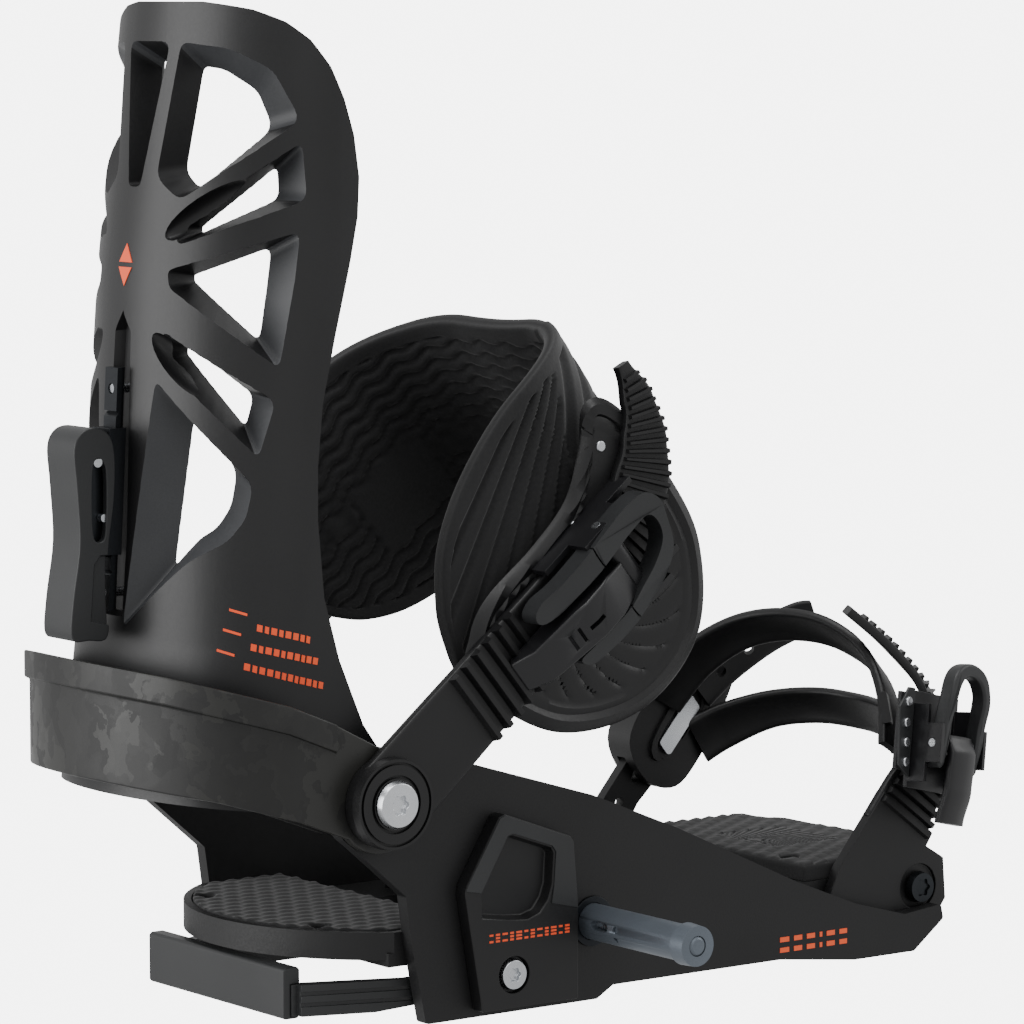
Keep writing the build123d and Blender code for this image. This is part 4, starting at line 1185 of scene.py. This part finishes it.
def side_cover(sign, name):
    """The cover on a wall: a lighter sloped frame round the thumb pocket, plain below."""
    body_line = [(-55.4, 2.2), (-57.2, 12), (-61.6, 37), (-61, 40), (-49.5, 58.6), (-47.5, 59.4),
                 (-23.5, 50.6), (-22.4, 49), (-21.2, 34), (-20.6, 27), (-20.6, 2.2)]
    low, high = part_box(name)
    out_y = 59.4
    body = prism("cover", body_line, 54.6, out_y, lambda x, z, y: (x, sign * y, z))
    pocket = [(-55.6, 36.6), (-46.2, 52.6), (-44.6, 53.0), (-30.6, 48.0), (-29.4, 46.4),
              (-30.0, 37), (-31.6, 32.6), (-34.6, 29.0), (-39, 27.6), (-46, 28.2), (-55.4, 29.6)]
    sunk = [(x * 0.93 - 3.1, z * 0.93 + 2.9) for x, z in pocket]
    carved(body, prism("pocket", pocket, out_y + 0.5, 56.0,
                       lambda x, z, y: (x, sign * y, z), sunk))
    seat = prism("seat", [(-44 + 5.4 * math.cos(t), 12 + 5.4 * math.sin(t))
                          for t in (2 * math.pi * k / 40 for k in range(40))], 57.4, 61,
                 lambda x, z, y: (x, sign * y, z))
    carved(body, seat)
    rounded(body, 0.45)
    piece = done(body, "root", "cover_black", COVER, name)
    piece.name = name + ".finished"
    frame_line = [(-61.3, 38.2), (-60.7, 40), (-49.3, 58.3), (-47.5, 59.0), (-23.8, 50.4),
                  (-22.7, 49), (-21.4, 34), (-20.9, 29.2), (-30.6, 31.6), (-29.8, 36.6),
                  (-29.1, 46.6), (-30.4, 48.4), (-44.6, 53.4), (-46.6, 53.0), (-56.0, 37.2)]
    trim = prism("trim", frame_line, out_y - 0.2, out_y + 0.35,
                 lambda x, z, y: (x, sign * y, z))
    rounded(trim, 0.15)
    trim = done(trim, "root", "grey", SLATE)
    trim.name = name + ".frame"
    marks = []
    x = -53.0
    while x < -24:
        step = 2.0 + 0.7 * math.sin(x * 5)
        for bottom in ((0.0, 1.9) if int(x * 3) % 2 else (0.0, 0.95, 1.9)):
            z = 22.2 + bottom
            marks.append(prism("mark", [(x, z), (x + step, z), (x + step, z + 0.6), (x, z + 0.6)],
                               out_y - 0.02, out_y + 0.08, lambda x, z, y: (x, sign * y, z)))
        x += step + 0.9
    done(joined(name + ".print", marks), "root", "cover_black", INK)


side_cover(-1, "side_cover_right")
side_cover(1, "side_cover_left")


def wall_print():
    """A short row of plain bars towards the toe of the right wall."""
    marks = []
    for x, wide in ((60, 3.6), (65.5, 3.2), (70.6, 3.2), (75.7, 1.0), (78.5, 3.2), (83.6, 3.0)):
        for lift in (0.0, 3.2):
            z = 5.6 + lift
            marks.append(prism("mark", [(x, z), (x + wide, z), (x + wide, z + 1.5), (x, z + 1.5)],
                               -54.46, -54.62, lambda x, z, y: (x, y, z)))
    done(joined("wall.print", marks), "root", "base_black", INK)


wall_print()


def lean_lever():
    """The waisted lever behind the highback: a broad thumb face, two cheeks with a long hole."""
    profile = closed_curve([(-160.6, 113.6), (-160.2, 124), (-157.8, 140), (-158.6, 156),
                            (-159.4, 167), (-156.6, 171.8), (-151.6, 172.6), (-147.6, 170.2),
                            (-146.0, 164), (-146.4, 152), (-148.4, 138), (-148.6, 126),
                            (-148.8, 113.4), (-155, 112.6)], 5)
    body = prism("lever", profile, -7.5, 7.5, lambda x, z, y: (x, y, z))
    hollow = prism("hollow", [(-155.0, 122), (-153.6, 140), (-154.4, 166), (-140, 176),
                              (-140, 122)], -5.2, 5.2, lambda x, z, y: (x, y, z))
    carved(body, hollow)
    hole = closed_curve([(-153.4, 160), (-151.6, 163.6), (-149.0, 160.4), (-149.2, 144),
                         (-150.8, 140.4), (-153.4, 143)], 5)
    carved(body, prism("hole", hole, -9, 9, lambda x, z, y: (x, y, z)))
    recess = [(-154.2, 118), (-153.0, 134), (-151, 136.4), (-147, 136.4), (-146, 116)]
    for low, high in ((-9, -6.2), (6.2, 9)):
        carved(body, prism("recess", recess, low, high, lambda x, z, y: (x, y, z)))
    rounded(body, 0.8, 3)
    body.name = "lean_lever.finished"
    return done(body, "lean_lever", "grey", SLATE, "lean_lever")


lean_lever()
# Toe strap --------------------------------------------------------------------------------

OUT = Vector((0.25, -0.96, 0.07)).normalized()
UP = Vector((0.2, 0.12, 0.97))
UP = (UP - OUT * UP.dot(OUT)).normalized()
SIDEWAYS = OUT.cross(UP).normalized()
TOE_SEAT = Vector((121.5, -52.0, 63.0))


def toe_at(x, y, h):
    """A point of the toe buckle: x along the ladder, y across it, h outwards."""
    return TOE_SEAT + UP * x + SIDEWAYS * y + OUT * h


def ribbon(name, stations, thick, columns=120, rows=24, corner=0.35, ridge=0.0):
    """A moulded strap through stations of centre, width direction and width.

    Its edges are rounded, and ridge raises a bead along both edges."""
    centres = curved([s[0] for s in stations], 12)
    acrosses = curved([s[1] for s in stations], 12)
    widths = curved([(s[2], 0, 0) for s in stations], 12)

    def skin(u, v):
        place = u * (len(centres) - 1)
        i = min(int(place), len(centres) - 2)
        t = place - i
        here = centres[i].lerp(centres[i + 1], t)
        run = (centres[min(i + 2, len(centres) - 1)] - centres[max(i - 1, 0)]).normalized()
        wide = acrosses[i].lerp(acrosses[i + 1], t)
        wide = (wide - run * wide.dot(run)).normalized()
        up = wide.cross(run).normalized()
        half = widths[i].lerp(widths[i + 1], t)[0] / 2
        turn = 2 * math.pi * v
        q = math.copysign(abs(math.cos(turn)) ** corner, math.cos(turn))
        s = math.copysign(abs(math.sin(turn)) ** 0.3, math.sin(turn))
        lift = thick / 2 * s
        if ridge and s > 0.5:
            lift += ridge * (groove(abs(q) - 0.82, 0.2) - 0.2 * groove(q, 0.5))
        return here + wide * half * q + up * lift

    piece = sheet(name, columns, rows, skin)
    return capped(piece)


def toe_webs():
    """The two webs over the toe, each twisting from the block to the buckle."""
    slant, steep = (0.65, 0, -0.76), (0.3, 0, -0.95)
    upper = [
        ((90, 40.5, 69), slant, 14), ((97, 32, 83), slant, 14), ((104, 19, 92.5), slant, 13),
        ((109, 2, 96.5), slant, 13), ((114, -15, 95), slant, 13), ((117.5, -30, 87), slant, 12.5),
        ((115, -41, 75), slant, 11.5), ((109.5, -47.3, 63), slant, 9),
    ]
    lower = [
        ((104, 40.5, 55), steep, 16), ((112, 36, 60), steep, 15), ((123, 26, 65.5), steep, 12.5),
        ((131.5, 12, 67.6), steep, 12), ((134.5, -6, 67.2), steep, 12),
        ((130, -24, 67), steep, 12), ((120, -36, 70.5), steep, 11), ((109, -45.6, 75.5), steep, 10),
    ]
    for name, node, line in (("toe_web_upper.web", "toe_web_upper", upper),
                             ("toe_web_lower.web", "toe_web_lower", lower)):
        web = ribbon(name, line, 2.6, ridge=0.5)
        smooth(web, 50)
        done(web, "root", "strap", URETHANE, node)


toe_webs()


def toe_ladder():
    """The right toe strap: a broad foot, bold ribs, and a thin toothed tongue that stands up."""
    y = -47.5
    foot = [(84, 8), (84, 19), (88, 28), (106, 50), (116, 44), (126, 35), (123.4, 31.2),
            (130.4, 27), (131.4, 14), (128, 9.4), (124, 7.5)]
    plate = prism("foot", foot, -49.4, -45.6, lambda x, z, q: (x, q, z))
    bore = prism("bore", [(120 + 7.2 * math.cos(math.radians(t)),
                           18.8 + 7.2 * math.sin(math.radians(t))) for t in range(0, 360, 10)],
                 -52, -48.2, lambda x, z, q: (x, q, z))
    carved(plate, bore)
    through = prism("bore", [(120 + 3.6 * math.cos(math.radians(t)),
                              18.8 + 3.6 * math.sin(math.radians(t)))
                             for t in range(0, 360, 15)],
                    -54, -40, lambda x, z, q: (x, q, z))
    carved(plate, through)
    rounded(plate, 0.5)
    slope, turned = Vector((0.78, 0, -0.62)), Vector((0.5, 0.86, 0.0))
    stations = [
        ((110, y, 36), slope, 25), ((117, y, 46), slope, 23), ((123.5, y, 55), slope, 20.5),
        ((127.5, y + 0.6, 66), slope, 17), ((127, y + 4, 79), Vector((0.7, 0.5, -0.3)), 13),
        ((118, y + 11, 93), turned, 10), ((106, y + 16.5, 104.5), turned, 6.4),
    ]
    tongue = ribbon("tongue", stations, 3.0, corner=0.3)
    ribs = []
    for k in range(6):
        middle = Vector((114.4 + 2.05 * k, -49.0, 41.2 + 2.75 * k))
        along, across = Vector((0.6, 0, 0.8)), Vector((0.8, 0, -0.6))
        half = 11.4 - 0.55 * k
        profile = [(-1.35, 0), (1.35, 0), (0.7, 1.9), (-0.7, 1.9)]
        ribs.append(prism("rib", profile, -half, half,
                          lambda p, h, q, m=middle: m + along * p + across * q
                          + Vector((0, -h, 0))))
    teeth = []
    line = curved([Vector(s[0]) for s in stations[3:]], 12)
    edges = curved([Vector(s[1]) for s in stations[3:]], 12)
    sizes = curved([(s[2], 0, 0) for s in stations[3:]], 12)
    for k in range(5, len(line) - 4, 2):
        run = (line[k + 1] - line[k - 1]).normalized()
        wide = (edges[k] - run * edges[k].dot(run)).normalized()
        up = wide.cross(run).normalized()
        if up.x < 0:
            up = -up
        half = sizes[k][0] / 2 - 1.0
        profile = [(-0.8, 1.3), (0.8, 1.3), (0.25, 2.5), (-0.25, 2.5)]
        teeth.append(prism("tooth", profile, -half, half,
                           lambda p, h, q, m=line[k], r=run, w=wide, o=up: m + r * p + w * q
                           + o * h))
    piece = joined("toe_ladder.strap", [plate, tongue, *ribs, *teeth])
    smooth(piece, 35)
    return done(piece, "root", "strap", URETHANE, "toe_ladder")


toe_ladder()


def toe_block():
    """The far block: a waisted moulding round its steel plate, with a folded skirt."""
    outline = closed_curve([(84, 44), (77, 57), (84, 70), (96, 80), (113, 86), (121, 79),
                            (115, 64), (106, 50), (96, 41)], 5)
    block = prism("block", outline, 41.0, 52.5, lambda x, z, q: (x, q, z))
    slot = prism("slot", [(70, 30), (84, 65), (94, 72), (112, 56), (90, 30)], 45.5, 49.5,
                 lambda x, z, q: (x, q, z))
    carved(block, slot)
    rounded(block, 1.2, segments=3)
    frame_line = closed_curve([(90.2, 50.4), (85.6, 56.4), (100, 74), (107.6, 67.2)], 4)
    rim = prism("rim", frame_line, 39.9, 41.6, lambda x, z, q: (x, q, z))
    hole = prism("hole", closed_curve([(92, 50.8), (87.8, 56.2), (101, 71.4), (105.4, 66.4)], 4),
                 38, 42.5, lambda x, z, q: (x, q, z))
    carved(rim, hole)
    rounded(rim, 0.4)
    piece = joined("toe_block.moulding", [block, rim])
    smooth(piece, 40)
    return done(piece, "root", "base_black", NYLON, "toe_block")


toe_block()


def toe_tail():
    """The holed tail of the web, that points up past the block."""
    stations = [
        ((104, 39.6, 71), (0.6, 0, -0.8), 13), ((114, 37.6, 79.5), (0.6, 0, -0.8), 13),
        ((126, 33, 88), (0.6, 0, -0.8), 12.5), ((136, 28, 93.4), (0.6, 0, -0.8), 12),
        ((140.5, 25.6, 95.4), (0.6, 0, -0.8), 9),
    ]
    tail = ribbon("toe_tail.strap", stations, 2.4, columns=70, corner=0.3)
    for x, y, z in ((112, 38.2, 77.8), (121, 35.2, 84.6), (130, 31.2, 90.2)):
        bpy.ops.object.select_all(action="DESELECT")
        bpy.ops.mesh.primitive_cylinder_add(vertices=24, radius=1.7 * MM, depth=9 * MM,
                                            location=(x * MM, y * MM, z * MM))
        hole = bpy.context.object
        hole.rotation_euler = Vector((0.42, 0.82, 0.38)).to_track_quat("Z", "Y").to_euler()
        only(hole)
        bpy.ops.object.transform_apply(location=True, rotation=True, scale=True)
        carved(tail, hole)
    smooth(tail, 40)
    return done(tail, "root", "strap", URETHANE, "toe_tail")


toe_tail()


def toe_levers():
    """The toe buckle's bow and its thumb blade."""
    outer = closed_curve([(-6, 10.4), (6, 11), (16, 10.8), (23, 8), (25.6, 1), (23, -7),
                          (16, -10.6), (4, -11), (-7, -10.6), (-7, -7.6), (4, -7.4),
                          (15, -7.0), (20, -4), (21.4, 1), (19.8, 4.8), (14, 7.2), (4, 7.4),
                          (-6, 7.4)], 5)
    bow = prism("bow", outer, -2.6, 2.6, lambda x, q, h: toe_at(x, q, h + blended(
        [(-8, 8.8), (4, 10.6), (16, 12.4), (26, 12.6)], x)))
    rounded(bow, 1.0, 3, 40)
    bow.name = "toe_lever.bow"
    done(bow, "toe_lever", "buckle", SLATE, "toe_lever")

    def skin(u, v):
        x = -24 + 27 * u
        half = 6.5
        turn = 2 * math.pi * v
        q = math.copysign(abs(math.cos(turn)) ** 0.35, math.cos(turn)) * half
        s = math.copysign(abs(math.sin(turn)) ** 0.4, math.sin(turn))
        height = blended([(0, 9.6), (0.4, 11.8), (0.8, 12.4), (1, 10.4)], u)
        crest = 0.9 * (1 - abs(q) / half) if s > 0 else 0
        return toe_at(x, q, height + 1.5 * s + crest)

    blade = capped(sheet("blade", 50, 28, skin))
    hub = prism("hub", [(3.0 * math.cos(math.radians(t)), 3.0 * math.sin(math.radians(t)))
                        for t in range(0, 360, 15)], -6.4, 6.4,
                lambda x, h, q: toe_at(x, q, 9.5 + h))
    piece = joined("toe_trigger.blade", [blade, hub])
    smooth(piece, 40)
    done(piece, "toe_trigger", "buckle", BUCKLE, "toe_trigger")


toe_levers()


def toe_plate():
    """The grey plate beside the toe buckle, with its row of round rivets."""
    outline = [(-11, 12.7), (-8, 18.6), (10, 20.4), (16.6, 16), (16.6, 12.7)]
    plate = prism("toe_plate", outline, 1.3, 2.3, toe_at)
    rounded(plate, 0.3)
    done(plate, "root", "buckle", SLATE)
    plate.name = "toe_buckle.plate"
    heads = []
    for x, y in ((-6.5, 15.6), (-0.5, 16.0), (5.5, 16.6), (12, 16.4)):
        head = prism("rivet", [(x + 1.5 * math.cos(t), y + 1.5 * math.sin(t))
                               for t in (2 * math.pi * k / 24 for k in range(24))],
                     1.2, 3.2, toe_at)
        rounded(head, 0.4, 3, 60)
        heads.append(head)
    rivets = joined("toe_rivets.finished", heads)
    smooth(rivets, 50)
    done(rivets, "root", "steel", STEEL, "toe_rivets")


toe_plate()

# Nodes that keep their CAD mesh's shape, with broken edges --------------------------------

KEPT = {
    "baseplate": (CASTING, "base_black", 0.8),
    "heel_loop": (CARBON, "forged", 0.8),
    "side_cover_right": (COVER, "cover_black", 0.5),
    "side_cover_left": (COVER, "cover_black", 0.5),
    "channel_liners": (ACETAL, "liner", 0.3),
    "bail_screws": (STEEL, "steel", 0.3),
    "bail_frame": (SLATE, "grey", 1.4),
    "bail_grip": (SLATE, "grey", 1.6),
    "bail_bushes": (BLACKENED, "dark_steel", 0.2),
    "ankle_screws": (STEEL, "steel", 0.3),
    "ankle_nuts": (BLACKENED, "dark_steel", 0.3),
    "ankle_discs": (COVER, "cover_black", 0.4),
    "lean_track": (BLACKENED, "dark_steel", 0.2),
    "track_screws": (STEEL, "steel", 0.2),
    "lean_slider": (BLACKENED, "dark_steel", 0.3),
    "lean_hinge_pin": (STEEL, "steel", 0.2),
    "lean_catch_pin": (STEEL, "steel", 0.2),
    "lean_lever": (SLATE, "grey", 0.7),
    "pin_sleeve": (ANODISED, "grey", 0.4),
    "pin_core": (STEEL, "steel", 0.2),
    "pin_cap": (ANODISED, "grey", 0.2),
    "pin_bushes": (BLACKENED, "dark_steel", 0.3),
    "detent_ball": (STEEL, "steel", 0.02),
    "detent_plug": (BLACKENED, "dark_steel", 0.1),
    "pad_screws": (STEEL, "steel", 0.15),
    "ankle_ladder": (URETHANE, "strap", 0.5),
    "ankle_far_strap": (URETHANE, "strap", 0.5),
    "ankle_shell": (URETHANE, "strap", 0.5),
    "ankle_plate": (BUCKLE, "buckle", 0.3),
    "ankle_rivets": (STEEL, "steel", 0.2),
    "ankle_buckle_base": (BUCKLE, "buckle", 0.3),
    "ankle_buckle_pin": (STEEL, "steel", 0.2),
    "ankle_spring": (STEEL, "steel", 0.1),
    "ankle_lever": (SLATE, "buckle", 0.6),
    "ankle_trigger": (BUCKLE, "buckle", 0.5),
    "toe_ladder": (URETHANE, "strap", 0.4),
    "toe_screws": (STEEL, "steel", 0.3),
    "toe_bushes": (BLACKENED, "dark_steel", 0.2),
    "toe_nuts": (BLACKENED, "dark_steel", 0.2),
    "toe_anchor_strap": (URETHANE, "strap", 0.4),
    "toe_block": (NYLON, "base_black", 0.5),
    "toe_block_plate": (STEEL, "steel", 0.2),
    "toe_tail": (URETHANE, "strap", 0.3),
    "toe_web_upper": (URETHANE, "strap", 0.3),
    "toe_web_lower": (URETHANE, "strap", 0.3),
    "toe_buckle_base": (BUCKLE, "buckle", 0.3),
    "toe_buckle_pin": (STEEL, "steel", 0.2),
    "toe_spring": (STEEL, "steel", 0.1),
    "toe_rivets": (STEEL, "steel", 0.2),
    "toe_lever": (SLATE, "buckle", 0.4),
    "toe_trigger": (BUCKLE, "buckle", 0.4),
    "highback": (SATIN, "shell_black", 0.8),
    "heel_pad": (FOAM, "foam", 0.8),
    "toe_pad": (FOAM, "foam", 0.8),
    "ankle_pad": (FOAM, "foam", 0.8),
}
STOOD_FOR = {n for o in bpy.data.objects for n in (o.get("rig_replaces") or [])}
for node, (material, slot, width) in KEPT.items():
    if node not in STOOD_FOR:
        softened(node, material, slot, width)

# Light and camera ------------------------------------------------------------------


def studio():
    """Soft boxes round the object, in an even white surround."""
    world = bpy.data.worlds.new("studio")
    bpy.context.scene.world = world
    world.use_nodes = True
    tree = world.node_tree
    seen = add(tree, "LightPath").outputs["Is Camera Ray"]
    glow = add(tree, "MapRange", {"Value": seen, "To Min": 0.8, "To Max": 6.0})
    sky = tree.nodes["Background"]
    sky.inputs["Color"].default_value = srgb("#ffffff")
    tree.links.new(glow.outputs["Result"], sky.inputs["Strength"])
    for name, place, size, power in (
        ("top_box", (-0.3, -0.2, 1.5), 1.0, 14), ("heel_box", (-1.5, 0.45, 0.35), 1.3, 24),
        ("toe_box", (1.3, -0.7, 0.9), 1.0, 7), ("near_box", (-0.3, -1.9, 1.2), 1.2, 5),
    ):
        data = bpy.data.lights.new(name, "AREA")
        data.shape = "SQUARE"
        data.size = size
        data.energy = power
        lamp = bpy.data.objects.new(name, data)
        bpy.context.scene.collection.objects.link(lamp)
        lamp.location = place
        aim = Vector((-0.03, 0, 0.12)) - Vector(place)
        lamp.rotation_euler = aim.to_track_quat("-Z", "Y").to_euler()


def camera():
    """A long lens from behind the right heel, a little above the foot."""
    data = bpy.data.cameras.new("camera")
    data.sensor_width = 36.0
    data.lens = 175.8
    eye = bpy.data.objects.new("camera", data)
    bpy.context.scene.collection.objects.link(eye)
    yaw, pitch = math.radians(36.8), math.radians(5.9)
    ahead = Vector((math.sin(yaw) * math.cos(pitch), math.cos(yaw) * math.cos(pitch),
                    -math.sin(pitch)))
    right = Vector((math.cos(yaw), -math.sin(yaw), 0))
    up = right.cross(ahead)
    turn = Matrix((right, up, -ahead)).transposed().to_4x4()
    eye.matrix_world = Matrix.Translation((-0.8984, -1.2003, 0.2939)) @ turn
    bpy.context.scene.camera = eye


studio()
camera()
